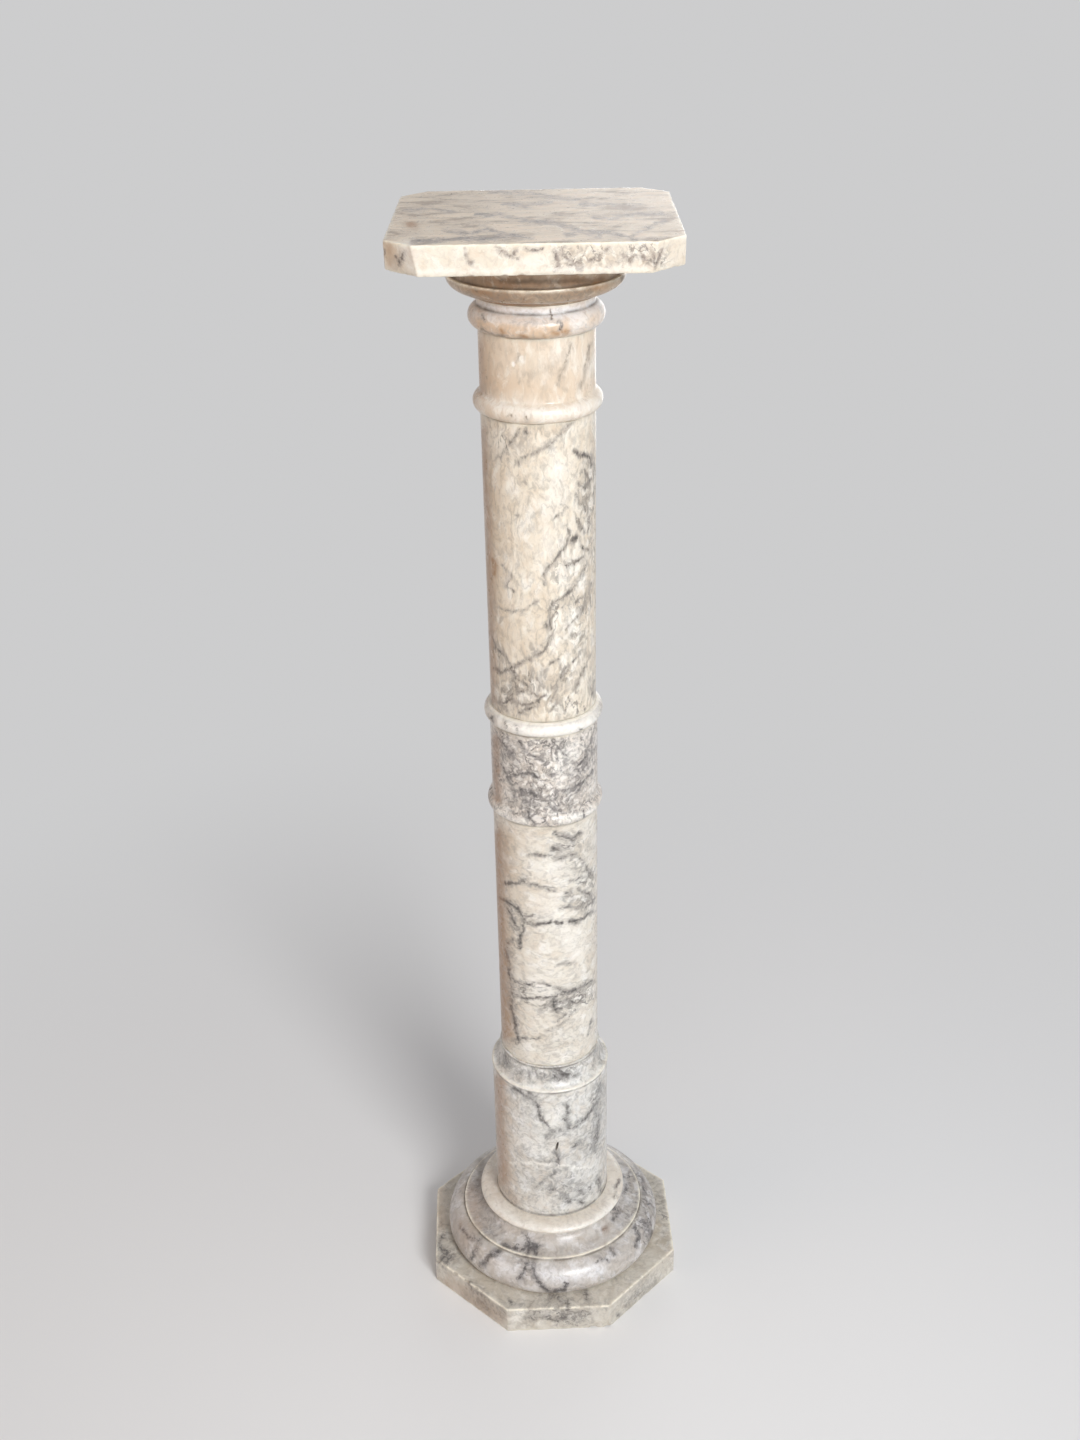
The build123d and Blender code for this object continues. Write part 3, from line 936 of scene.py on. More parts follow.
# All of the capital's marks are painted shade: the shadow under the plate, and the shade under the
# ovolo
MARKS["capital"] = dict(stain_and_shade=[
    (5.0, 0.75, (596, 284), (601, 282)), (4.0, 0.45, (565, 281), (582, 281)),
    (6.0, 0.35, (470, 286), (484, 295)), (3.0, 0.25, (500, 281), (540, 283)),
], cloud=[
    (5.0, 0.5, (486, 293), (515, 297), (560, 297), (590, 291)), (8.0, 0.5, (462, 284), (478, 291)),
], warm=[
    (30.0, 0.6, (500, 285), (580, 285)),
], grime_and_shade=[
    (3.5, 0.7, (500, 281), (560, 281.5), (625, 279)), (2.5, 0.3, (455, 281), (517, 282.5)),
])

MARKS["collar"] = dict(white=[
    # Painted reflection: the pale band round the neck
    (6.5, 0.95, (484, 303), (510, 312), (540, 315), (570, 313), (600, 302)),
    (4.0, 0.4, (476, 313), (500, 320), (540, 323)),
], warm=[
    (7.0, 0.75, (478, 325), (505, 331), (540, 333), (562, 330)), (5.0, 0.3, (585, 325), (600, 318)),
], cloud=[
    (3.0, 0.5, (558, 308), (562, 313)), (2.5, 0.45, (531, 314), (534, 315)),
    (2.0, 0.4, (512, 322), (545, 323.5), (560, 322)),
], grime_and_shade=[
    # Painted shadow under the torus, with dirt in the joint
    (1.5, 0.6, (480, 329), (500, 336.5), (540, 340.5), (572, 338)),
], vein=[
    (1.0, 0.85, (559, 321), (561, 327), (560, 331)), (0.8, 0.75, (483.5, 316), (485, 321)),
    (0.8, 0.7, (551, 310), (552, 318)),
], stain_and_shade=[
    (2.4, 0.7, (500, 331), (502, 334)), (2.2, 0.75, (521, 336), (526, 338)),
    (2.4, 0.7, (554, 332), (557, 335)), (2.4, 0.7, (562, 333), (567, 332)),
    (1.8, 0.5, (543, 336), (546, 338)),
])

MARKS["neck_drum"] = dict(white=[
    (2.6, 0.9, (521, 358.5), (522.5, 359.5)), (2.0, 0.85, (513, 363.5), (514, 364.5)),
    # This band along the ring is a painted reflection on its upper face
    (9.0, 0.7, (490, 402), (520, 411), (548, 414), (575, 411), (602, 400)),
    (12.0, 0.3, (560, 352), (585, 365)),
], vein=[
    (0.9, 0.75, (518.5, 356), (516.5, 362)), (0.9, 0.72, (561, 376), (558.6, 385)),
    (1.3, 0.95, (526.3, 416.5), (527.2, 417.2)), (0.8, 0.75, (508, 416.2), (514.5, 416.4)),
    (0.7, 0.66, (571, 344), (566, 362), (559, 384)),
    (0.7, 0.64, (591, 345), (587, 362), (582, 387)),
], cloud=[
    (2.6, 0.4, (571, 344), (566, 362), (558, 386)), (2.2, 0.35, (592, 345), (587, 365), (581, 388)),
    (3.0, 0.3, (520, 380), (535, 374), (550, 368)), (2.0, 0.3, (560, 386), (566, 390)),
    (3.0, 0.25, (500, 348), (512, 352)),
], warm=[
    # The first warm stroke, down the left edge, is painted warm shade
    (12.0, 0.7, (484, 350), (486, 390)), (9.0, 0.35, (500, 385), (540, 388)),
], stain_and_shade=[
    # Painted warm shade down the left edge
    (4.0, 0.4, (479, 345), (481, 392)),
])

MARKS["upper_shaft"] = dict(vein=[
    (1.2, 0.95, (574.6, 451), (578.4, 456.8), (584.1, 454.8), (590, 456.1)),
    (1.0, 0.85, (590.3, 456), (590.8, 466)),
    (0.8, 0.75, (584, 470), (589, 479), (586, 489), (579, 483)),
    (1.1, 0.9, (577.1, 495), (581.6, 504.6), (585.6, 509.7)),
    (0.7, 0.72, (561.2, 504.6), (566, 507), (562.4, 513.5), (552.2, 519.9)),
    (0.9, 0.85, (577.8, 518.6), (580.3, 527.6), (584.1, 532.7)),
    (0.8, 0.8, (565, 525), (571.4, 535.2)), (1.6, 0.95, (570, 540), (577.8, 538.2)),
    (0.9, 0.85, (567.6, 541.6), (561.2, 553.1), (552.2, 562), (545.9, 570.9), (543, 577),
     (544.6, 583.5)),
    (1.0, 0.8, (581.6, 546.7), (588, 550.5)),
    (0.8, 0.8, (582.9, 555.6), (572.7, 564.5), (565, 569.6)),
    (1.8, 0.9, (567, 567), (570.5, 564.5)),
    (0.8, 0.78, (586.7, 562), (580.3, 578.6), (572.7, 587.5), (567.6, 593)),
    (1.0, 0.85, (568.8, 590.6), (562.4, 598.3), (554.8, 602.1), (548.4, 611)),
    (0.8, 0.75, (591.5, 584.2), (584, 597), (575.2, 602.1)),
    (0.8, 0.72, (586.7, 598.3), (581.6, 611), (573.9, 620), (566.3, 628.9)),
    (1.6, 0.9, (546.6, 626), (547.8, 627)),
    (0.9, 0.82, (549, 611), (551, 617.4), (552.2, 631.4), (548.4, 645.5), (540.8, 654.4),
     (529.3, 659.5)),
    (1.1, 0.88, (529.3, 659.5), (522.9, 662), (512.7, 667.1), (508.9, 669.7)),
    (0.9, 0.85, (510, 669), (516.5, 678.6), (524.2, 682.4), (531, 688)),
    (1.0, 0.85, (491, 632), (497.4, 648), (506.3, 657), (510.2, 663)),
    (1.0, 0.85, (495, 668), (500, 672), (503.8, 672.2), (508.9, 669)),
    (0.7, 0.78, (558.6, 659.5), (551, 662), (542, 673.5)),
    (0.8, 0.78, (581.6, 649.3), (568.8, 665.9), (559.9, 678.6), (554.8, 692.7)),
    (0.8, 0.75, (590.5, 657), (584, 668), (580.3, 678.6), (573, 690)),
    (1.6, 0.8, (592, 681), (593, 694)), (0.7, 0.72, (557.3, 703), (549.7, 710.5)),
    (0.9, 0.75, (506, 697), (516, 692), (529, 690), (538, 697)),
    (0.8, 0.78, (499, 702), (512, 700), (523, 705), (536, 702), (545, 695)),
    (0.8, 0.72, (520, 712), (533, 708), (541, 700)),
    (1.0, 0.8, (517.8, 429.3), (514, 437), (508.9, 444.6), (501.2, 456.1)),
    (1.7, 0.92, (525, 432.5), (526, 434)),
    (0.8, 0.72, (572.7, 421.7), (561.2, 433.2), (549.7, 444.6), (540.8, 449.7), (526.7, 456.1),
     (516.5, 464)),
    (1.2, 0.72, (524, 482.5), (525, 483.5)), (1.0, 0.68, (517.5, 514.5), (518.5, 515)),
    (0.7, 0.66, (503, 565), (510, 575), (508, 586), (514, 592)),
    (0.7, 0.66, (498, 607), (510, 612), (526, 610), (536, 601)),
], cloud=[
    (12.0, 0.75, (512, 690), (535, 684), (547, 690)), (9.0, 0.7, (503, 705), (525, 706)),
    (6.0, 0.5, (500, 660), (506, 672)), (8.0, 0.35, (508, 440), (520, 446), (500, 455)),
    (3.0, 0.4, (572, 422), (549, 444), (520, 462)), (5.0, 0.4, (588, 460), (589, 500), (588, 560)),
    (4.0, 0.45, (580, 497), (586, 510)), (4.0, 0.5, (585, 462), (582, 488), (588, 505)),
    (4.0, 0.5, (590, 540), (582, 570), (570, 594), (560, 604)),
    (3.0, 0.5, (590, 590), (580, 612), (568, 632)), (4.0, 0.4, (575, 540), (560, 556), (548, 568)),
    (4.0, 0.45, (553, 606), (549, 640), (530, 658)), (6.0, 0.3, (585, 600), (565, 640)),
    (4.0, 0.35, (566, 668), (556, 690)), (8.0, 0.25, (582, 640), (572, 690), (560, 712)),
    (7.0, 0.3, (588, 470), (587, 540)),
], stain_and_shade=[
    (3.6, 0.8, (493.6, 561), (494.5, 567), (493.8, 574)),
    # The stroke down the left edge is painted warm shade; the one above is a stain
    (4.5, 0.7, (483, 430), (485, 480), (488, 540), (490, 600), (491, 650), (492, 700)),
], warm=[
    # The first warm stroke, down the left edge, is painted warm shade
    (12.0, 0.55, (492, 470), (496, 560), (500, 640)), (10.0, 0.5, (530, 430), (560, 428)),
    (10.0, 0.3, (535, 500), (530, 540)),
], white=[
    (9.0, 0.4, (560, 465), (553, 500)), (8.0, 0.45, (575, 560), (562, 580)),
    (6.0, 0.4, (545, 530), (548, 550)), (4.5, 0.6, (575, 612), (569, 622)),
    (4.0, 0.6, (558, 638), (553, 648)), (3.5, 0.6, (584, 577), (580, 589)),
    (3.5, 0.55, (523, 695), (531, 697)), (3.0, 0.55, (567, 655), (563, 662)),
], web=[
    (10.0, 0.8, (590, 470), (585, 530), (586, 600)),
    (14.0, 0.75, (572, 545), (563, 600), (560, 650)),
    (18.0, 0.95, (505, 690), (530, 688), (545, 700)), (12.0, 0.5, (505, 440), (515, 452)),
    (9.0, 0.7, (498, 650), (505, 668)), (16.0, 0.9, (577, 560), (574, 620), (568, 680), (572, 708)),
])

MARKS["middle_ring"] = dict(vein=[
    (0.9, 0.8, (491.5, 716), (494, 721)), (0.8, 0.75, (516, 725), (517.5, 731)),
    (0.8, 0.7, (580, 729), (583, 731)), (0.7, 0.7, (505, 722), (507, 727)),
], white=[
    # Partly a painted reflection along the ring
    (6.0, 0.8, (510, 726), (530, 731), (560, 731), (590, 724)),
], cloud=[
    (3.0, 0.5, (491, 716), (493, 722)), (3.0, 0.45, (506, 723), (508, 728)),
    (3.0, 0.4, (517, 726), (518, 731)), (4.0, 0.4, (603, 706), (600, 716)),
])

MARKS["middle_drum"] = dict(vein=[
    (0.9, 0.85, (519.1, 740.4), (522.9, 752), (536.9, 758.3), (545.9, 762.1)),
    (1.4, 0.85, (508, 755), (512, 752)), (1.0, 0.85, (515, 775), (528, 772), (538, 779)),
    (1.3, 0.92, (530.6, 792.7), (538.2, 795.3)), (1.0, 0.85, (521, 790), (528, 804), (533, 803)),
    (0.8, 0.8, (558.6, 748), (567.6, 758.3), (564, 765)),
    (0.8, 0.85, (591.8, 739), (584.1, 758.3), (575.2, 769.7)),
    (0.8, 0.8, (594, 748), (588, 762), (583, 770)), (1.3, 0.85, (584.5, 762), (586, 764)),
    (0.8, 0.82, (592, 771), (585, 781), (577.8, 791.4)),
    (0.8, 0.8, (549, 775), (560, 771), (570, 775)), (0.9, 0.8, (556, 793), (570, 789), (581, 784)),
    (0.9, 0.8, (503, 768), (509, 782), (517, 800)), (0.8, 0.8, (545, 800), (553, 809), (560, 811)),
    (0.9, 0.8, (529.3, 812), (530, 818), (534.4, 825.9)), (0.9, 0.8, (508, 812), (510, 817)),
    (0.8, 0.8, (583, 812), (585, 819)), (0.9, 0.78, (499, 738), (506, 748)),
], cloud=[
    (9.0, 0.6, (508, 745), (515, 770)), (8.0, 0.6, (520, 790), (538, 795)),
    (7.0, 0.65, (550, 808), (568, 806)), (7.0, 0.4, (560, 750), (570, 760)),
    (8.0, 0.45, (585, 765), (577, 785)), (5.0, 0.6, (528, 806), (532, 818), (545, 822)),
], white=[
    # These four along the ring are painted reflections on it
    (5.0, 0.7, (497, 812), (508, 818)), (4.5, 0.7, (512, 820), (525, 822)),
    (5.0, 0.7, (562, 820), (580, 816)), (4.0, 0.6, (590, 812), (603, 803)),
    (7.0, 0.4, (558, 768), (575, 745)),
], web=[
    (40.0, 1.0, (545, 760), (545, 800)),
], stain_and_shade=[
    # Painted warm shade down the left edge
    (4.5, 0.6, (495, 740), (497, 800)),
])

MARKS["lower_shaft"] = dict(vein=[
    (1.2, 0.9, (556, 833.5), (562, 837), (572.7, 839.9), (580.3, 832.2)),
    (1.8, 0.85, (553.5, 849), (558, 848.5)), (0.8, 0.72, (528, 853.9), (540, 855), (552.2, 855.2)),
    (1.2, 0.8, (554.8, 857.8), (563, 857), (572.7, 853.9)),
    (1.1, 0.82, (579, 858), (586, 867), (590.5, 874)), (1.9, 0.97, (523, 879.4), (524.8, 880)),
    (1.0, 0.88, (504, 882.5), (512, 884), (522, 880.5)),
    (0.9, 0.85, (524.5, 882.5), (531, 885), (542, 887.1), (554.8, 890)),
    (0.7, 0.75, (570, 881), (580, 878), (588, 876)), (0.8, 0.8, (566, 893), (574, 899), (569, 906)),
    (0.8, 0.8, (578, 889), (589, 893), (592, 903), (583, 908)),
    (0.7, 0.78, (560, 908), (570, 906), (578, 909)),
    (1.0, 0.9, (499.7, 898.3), (508.7, 902.1), (518.9, 908.5), (524, 917.4), (525.3, 923.8)),
    (1.1, 0.9, (525.3, 923.8), (521.4, 935.3), (518.9, 946.7)),
    (0.9, 0.85, (507, 905), (512.5, 919), (514, 926.5), (520, 931)),
    (1.3, 0.9, (507.4, 943.5), (512, 940)), (1.0, 0.85, (518, 941), (520, 948)),
    (0.9, 0.9, (525.3, 923.8), (541.8, 924), (552, 922), (562, 923)),
    (1.4, 0.95, (571, 922), (576, 921)), (0.9, 0.88, (576, 921), (585.2, 916.1), (594, 911)),
    (0.8, 0.75, (524, 916), (533, 915)), (0.7, 0.64, (555.9, 965.9), (575, 962)),
    (1.0, 0.85, (506.1, 949.3), (508.7, 968.4), (511.2, 981.2), (512.5, 995.2)),
    (1.0, 0.85, (512.5, 995.2), (511.2, 1004), (513.8, 1016.9), (516.3, 1028.4), (518.9, 1040)),
    (0.9, 0.88, (513, 976), (516.3, 981.2), (529, 983.7), (541.8, 982.4), (552, 986.3),
     (564.8, 992.7)),
    (1.1, 0.9, (560, 993), (580, 988.8), (591.6, 981.2)),
    (0.9, 0.88, (516.3, 996.5), (531.6, 998.4), (544.4, 996.5), (558, 994)),
    (1.6, 0.92, (555.9, 996), (554, 1004), (556.5, 1013)),
    (0.9, 0.82, (558, 1004), (566, 1000), (576, 1003), (583, 998)),
    (0.9, 0.8, (541, 1009), (550, 1006), (560, 1009), (569, 1006)),
    (0.9, 0.8, (555, 1021), (565, 1015)), (0.9, 0.72, (545.7, 1032), (562.2, 1024.5), (571, 1014)),
    (0.8, 0.7, (521.4, 1038.6), (539.3, 1037.9)), (0.8, 0.75, (588, 1035), (592, 1020)),
], cloud=[
    (5.0, 0.6, (556, 856), (572, 855)), (4.0, 0.4, (582, 862), (590, 875)),
    (9.0, 0.4, (570, 898), (586, 900)), (6.0, 0.4, (527, 916), (545, 918)),
    (5.0, 0.45, (512, 905), (520, 935)), (8.0, 0.75, (545, 1000), (556, 1004), (568, 1000)),
    (5.0, 0.55, (520, 988), (545, 990), (585, 992)),
    (4.0, 0.5, (510, 950), (512, 1000), (517, 1040)), (3.0, 0.4, (560, 925), (572, 923)),
    (12.0, 0.2, (550, 1040), (570, 1030)), (6.0, 0.35, (562, 838), (590, 850)),
    (7.0, 0.3, (560, 870), (590, 872)),
], stain_and_shade=[
    # Painted warm shade down the left edge
    (4.5, 0.4, (503, 838), (505, 855), (506, 876)),
    (7.0, 0.8, (497, 835), (499, 900), (502, 990), (506, 1035)),
], warm=[
    # Painted warm shade down the left edge
    (9.0, 0.6, (508, 840), (510, 872)), (8.0, 0.45, (504, 900), (508, 960), (510, 1040)),
], white=[
    (12.0, 0.4, (545, 905), (575, 945)), (10.0, 0.4, (545, 870), (565, 872)),
    (7.0, 0.5, (535, 990), (548, 991)),
], web=[
    (10.0, 0.75, (570, 898), (588, 900)), (12.0, 0.7, (570, 842), (586, 880)),
    (8.0, 0.5, (510, 905), (515, 940)), (14.0, 0.9, (525, 990), (560, 1000), (588, 992)),
    (7.0, 0.5, (512, 990), (516, 1040)),
])

MARKS["lower_drum"] = dict(vein=[
    (1.8, 0.9, (556, 1069.8), (560, 1071.5), (566, 1074.5)), (1.3, 0.8, (551, 1077), (556, 1076)),
    (1.1, 0.75, (527, 1058), (533, 1062)), (1.1, 0.75, (505, 1055), (508, 1064)),
    (1.0, 0.8, (513.8, 1088.7), (522, 1093), (533, 1098), (538, 1106.5), (541.8, 1119.3),
     (551, 1130)),
    (0.9, 0.75, (529, 1092), (535, 1096)), (0.9, 0.8, (567.3, 1105), (566, 1121.8)),
    (1.5, 0.85, (565, 1118), (569, 1127)),
    (1.0, 0.82, (547, 1136), (553, 1131), (560, 1129.5), (572.4, 1128.2), (585.2, 1118),
     (597, 1101.4)),
    (1.2, 0.75, (600.5, 1084), (597.5, 1106.5), (597, 1127), (594, 1151)),
    (1.4, 0.78, (574, 1146), (580, 1143)), (1.1, 0.78, (556.5, 1152), (557.5, 1158), (558.5, 1164)),
    (1.3, 0.85, (568, 1201), (569.3, 1201)), (1.3, 0.85, (580.5, 1202), (582.5, 1202)),
    (1.3, 0.78, (579, 1191), (582, 1192)), (1.3, 0.8, (551, 1189), (554, 1188.6)),
    (0.8, 0.66, (540, 1161), (557, 1162)), (1.3, 0.78, (598, 1178), (600, 1190)),
    (0.9, 0.7, (536, 1188), (545, 1180), (556, 1172)),
], cloud=[
    (5.0, 0.6, (503, 1060), (520, 1072), (545, 1077), (575, 1074)),
    (6.0, 0.6, (596, 1050), (603, 1060)), (4.0, 0.45, (514, 1089), (535, 1100), (540, 1115)),
    (5.0, 0.5, (552, 1132), (572, 1128)), (6.0, 0.6, (600, 1090), (596, 1125), (594, 1150)),
    (5.0, 0.45, (577, 1146), (585, 1135)), (14.0, 0.45, (555, 1188), (580, 1192)),
    (3.0, 0.35, (566, 1105), (568, 1127)), (3.0, 0.35, (556, 1155), (558, 1165)),
    (5.0, 0.35, (590, 1115), (575, 1140)),
], white=[
    # The first is a painted highlight along the rim
    (2.4, 0.9, (501, 1073.4), (513.8, 1083.6), (539.3, 1090.6), (564.8, 1090.6), (590.3, 1082.3),
     (603, 1068.3)),
    (1.6, 0.6, (510, 1163), (540, 1163.6), (590, 1168)), (7.0, 0.5, (550, 1112), (556, 1122)),
    (6.0, 0.4, (520, 1140), (540, 1150)), (5.0, 0.4, (540, 1197), (545, 1200)),
], stain_and_shade=[
    # Painted warm shade down the left edge
    (7.0, 0.65, (498, 1080), (500, 1130), (503, 1180)), (5.0, 0.2, (508, 1190), (515, 1200)),
], warm=[
    # Painted warm shade down the left edge
    (9.0, 0.55, (502, 1085), (505, 1140), (512, 1195)),
], web=[
    (8.0, 0.7, (505, 1058), (530, 1072), (560, 1074), (600, 1058)),
    (9.0, 0.6, (597, 1090), (594, 1155)), (14.0, 0.5, (560, 1190), (585, 1190)),
])

MARKS["foot_ring"] = dict(white=[
    # Painted highlight along the ring's lip
    (5.0, 0.6, (495, 1205), (520, 1224), (555, 1231), (590, 1227), (615, 1205)),
], stain_and_shade=[
    # Painted warm shade on the left
    (6.0, 0.2, (492, 1175), (500, 1205)),
], vein=[
    (0.8, 0.7, (617, 1190), (613, 1198)), (0.8, 0.7, (619, 1180), (616, 1187)),
], web=[
    (6.0, 0.4, (612, 1200), (618, 1185)),
])

MARKS["base_moulding"] = dict(vein=[
    (1.3, 0.92, (482, 1264), (487.5, 1259), (494, 1253.3), (502.7, 1246.4), (508, 1247)),
    (1.1, 0.8, (470.5, 1259), (473, 1254), (477, 1249.5)),
    (0.9, 0.8, (508, 1247), (519, 1250), (530, 1247)),
    (1.0, 0.85, (525, 1233), (528, 1240), (530.2, 1246.4), (526, 1256), (528, 1262), (522, 1271),
     (519.5, 1278)),
    (1.1, 0.85, (534.5, 1243), (535.4, 1256.8), (532, 1266), (534, 1276), (540.5, 1286),
     (551, 1291), (563, 1291)),
    (1.0, 0.9, (566.4, 1284), (563.5, 1291)), (1.4, 0.85, (524, 1247), (532, 1248), (537, 1246)),
    (0.8, 0.75, (520, 1262), (527, 1266), (533, 1272)),
    (1.1, 0.85, (644, 1221), (647, 1227), (650.8, 1232.7), (652, 1242)),
    (1.0, 0.78, (634, 1228), (640, 1236), (636, 1246)),
    (1.2, 0.8, (613, 1207), (618, 1212), (614, 1218)),
    (1.0, 0.78, (618, 1172), (626, 1182), (624, 1193)),
    (1.0, 0.78, (633, 1170), (641, 1180), (645, 1192)), (0.9, 0.75, (609, 1247), (614, 1254)),
    (0.8, 0.7, (596, 1263), (601, 1258), (607, 1262)),
    (0.8, 0.66, (460, 1225), (470, 1238), (480, 1243)), (1.3, 0.72, (603, 1229), (606, 1228)),
], cloud=[
    (5.0, 0.6, (522, 1244), (538, 1247)), (4.0, 0.45, (525, 1255), (530, 1270), (522, 1278)),
    (4.0, 0.5, (484, 1262), (503, 1247)), (8.0, 0.5, (615, 1205), (620, 1215)),
    (9.0, 0.55, (622, 1170), (640, 1185), (648, 1215)), (5.0, 0.45, (645, 1225), (652, 1245)),
    (10.0, 0.12, (455, 1215), (462, 1245)), (6.0, 0.3, (600, 1255), (620, 1248)),
    (12.0, 0.3, (480, 1195), (490, 1215)),
], grime_and_shade=[
    # Painted shadow of the column on the left of the base
    (3.0, 0.4, (481, 1160), (480, 1180), (485, 1197), (494, 1210)),
], stain_and_shade=[
    # The first is a brown stain; the others are painted warm shade on the left
    (3.0, 0.3, (603, 1229), (607, 1228)), (9.0, 0.28, (470, 1190), (475, 1225)),
    (8.0, 0.2, (460, 1222), (466, 1242)),
], white=[
    # The strokes along the torus, and the one in the cove, are painted highlights
    (7.0, 0.55, (500, 1264), (514, 1270)), (7.0, 0.6, (545, 1275), (575, 1277), (600, 1268)),
    (3.5, 0.5, (560, 1240), (572, 1239)), (4.0, 0.5, (640, 1253), (636, 1262)),
    (4.0, 0.5, (616, 1176), (620, 1180)),
], web=[
    (16.0, 0.6, (525, 1245), (530, 1275)), (16.0, 0.7, (620, 1175), (645, 1195), (648, 1235)),
    (12.0, 0.5, (610, 1210), (625, 1215)),
])

MARKS["plinth"] = dict(vein=[
    (1.2, 0.85, (436, 1244), (441, 1249), (446, 1252), (443, 1262)),
    (1.0, 0.8, (451, 1258), (444, 1264)), (1.0, 0.75, (440, 1242), (443, 1236)),
    (1.1, 0.8, (585.3, 1293), (586.5, 1299)), (1.1, 0.8, (567.5, 1302), (568.5, 1310)),
    (1.0, 0.78, (509, 1300), (511, 1304)), (1.0, 0.74, (470, 1284), (473, 1291)),
    (1.0, 0.74, (619, 1315), (622, 1322)), (1.0, 0.72, (545, 1316), (556, 1320), (566, 1316)),
], cloud=[
    (6.0, 0.5, (440, 1240), (446, 1256)), (6.0, 0.55, (562, 1318), (585, 1316)),
    (5.0, 0.5, (530, 1318), (545, 1312)), (5.0, 0.45, (586, 1296), (588, 1300)),
    (8.0, 0.4, (470, 1295), (490, 1310)), (7.0, 0.4, (630, 1300), (655, 1284)),
    (9.0, 0.35, (652, 1185), (662, 1205)), (5.0, 0.4, (540, 1294), (556, 1297)),
], warm=[
    (9.0, 0.5, (660, 1225), (664, 1245)), (10.0, 0.4, (485, 1285), (500, 1294)),
], stain_and_shade=[
    (9.0, 0.25, (438, 1190), (438, 1225)), (7.0, 0.3, (448, 1282), (475, 1300), (500, 1318)),
], white=[
    (4.0, 0.5, (515, 1318), (522, 1312)), (3.0, 0.5, (540, 1322), (542, 1322)),
], web=[
    (14.0, 0.5, (440, 1235), (446, 1260)), (14.0, 0.5, (550, 1316), (590, 1316)),
    (16.0, 0.4, (655, 1190), (665, 1230)),
])

# Chips: stone, place in the photograph, radius and bite in mm, and what shows in them
CHIPS = [
    ("neck_drum", (521.6, 358.9), 2.4, 0.8, "white"),
    ("neck_drum", (513.3, 364.0), 1.9, 0.6, "white"),
    ("top_plate", (471, 278), 3.0, 0.8, "grime_and_shade"),
    ("top_plate", (504.7, 277.6), 2.6, 0.9, "grime_and_shade"),
    ("top_plate", (522.6, 277.2), 3.2, 0.8, "grime_and_shade"),
    ("top_plate", (604, 275.4), 3.0, 0.7, "grime_and_shade"),
    ("top_plate", (383.5, 252), 4.0, 0.9, "grime_and_shade"),
    ("plinth", (556, 1306.5), 3.5, 0.9, "grime_and_shade"),
    ("plinth", (569, 1306), 3.0, 0.8, "grime_and_shade"),
    ("plinth", (477, 1289), 3.0, 0.8, "grime_and_shade"),
    ("plinth", (455, 1275), 3.5, 0.9, "grime_and_shade"),
    ("base_moulding", (622, 1211), 3.0, 0.7, "grime_and_shade"),
    ("foot_ring", (618, 1196), 5.0, 1.2, "grime_and_shade"),
]

# How much net each stone has where the photograph doesn't reach, at least and at most, and
# how much on its front apart from the marks. The patches come from a noise
WEB_SCALE = 14
WEB_FRACTAL = (0.9, 2.0, 2)
WEB_STEP = (-0.25, 0.45)
WEB_LEVELS = {
    "top_plate": (0.1, 0.6, 0.05),
    "capital": (0.0, 0.35, 0.05),
    "collar": (0.05, 0.45, 0.1),
    "neck_drum": (0.0, 0.4, 0.05),
    "upper_shaft": (0.05, 0.9, 0.22),
    "middle_ring": (0.0, 0.4, 0.0),
    "middle_drum": (0.4, 1.0, 0.6),
    "lower_shaft": (0.0, 0.8, 0.22),
    "lower_drum": (0.05, 0.7, 0.25),
    "foot_ring": (0.0, 0.4, 0.05),
    "base_moulding": (0.05, 0.75, 0.22),
    "plinth": (0.05, 0.7, 0.12),
}

# Grime and painted shade at the lower and the upper bed of each stone, how far they spread,
# and those in corners. The darkening under the rings and under the plate is painted shadow
SEAM_REACH = 1.1 * MM
CORNER_SHADE_AND_GRIME = 0.75
SEAM_SHADE_AND_GRIME = {
    "top_plate": (0.5, 0.0),
    "capital": (0.5, 0.9),
    "collar": (1.0, 0.2),
    "neck_drum": (0.85, 0.9),
    "upper_shaft": (0.7, 0.9),
    "middle_ring": (1.0, 0.5),
    "middle_drum": (1.0, 0.9),
    "lower_shaft": (0.4, 0.9),
    "lower_drum": (0.5, 0.3),
    "foot_ring": (0.8, 0.5),
    "base_moulding": (1.0, 0.7),
    "plinth": (0.5, 0.0),
}


# Painting and wear

def smooth_step(values, low, high):
    share = np.clip((values - low) / (high - low), 0, 1)
    return share * share * (3 - 2 * share)


def waver(stone, which, flat, wavers):
    """Flat places of some of a stone's points, shaken so that lines drawn there waver."""
    for scale, reach in wavers:
        shaken = [noise.noise_vector(Vector(stone.places[i]) * scale).xz for i in which]
        flat = flat + np.array(shaken) * reach
    return flat


def near_line(places, line, reach):
    """Which flat places may be within reach of a line of straight runs, and their distances."""
    low, high = line.min(axis=0) - reach, line.max(axis=0) + reach
    inside = np.all((places > low) & (places < high), axis=1)
    places = places[inside]
    nearest = np.full(len(places), np.inf)
    for start, end in zip(line[:-1], line[1:]):
        run = end - start
        share = np.clip((places - start) @ run / (run @ run), 0, 1)[:, None]
        nearest = np.minimum(nearest, np.linalg.norm(places - start - share * run, axis=1))
    return inside, nearest


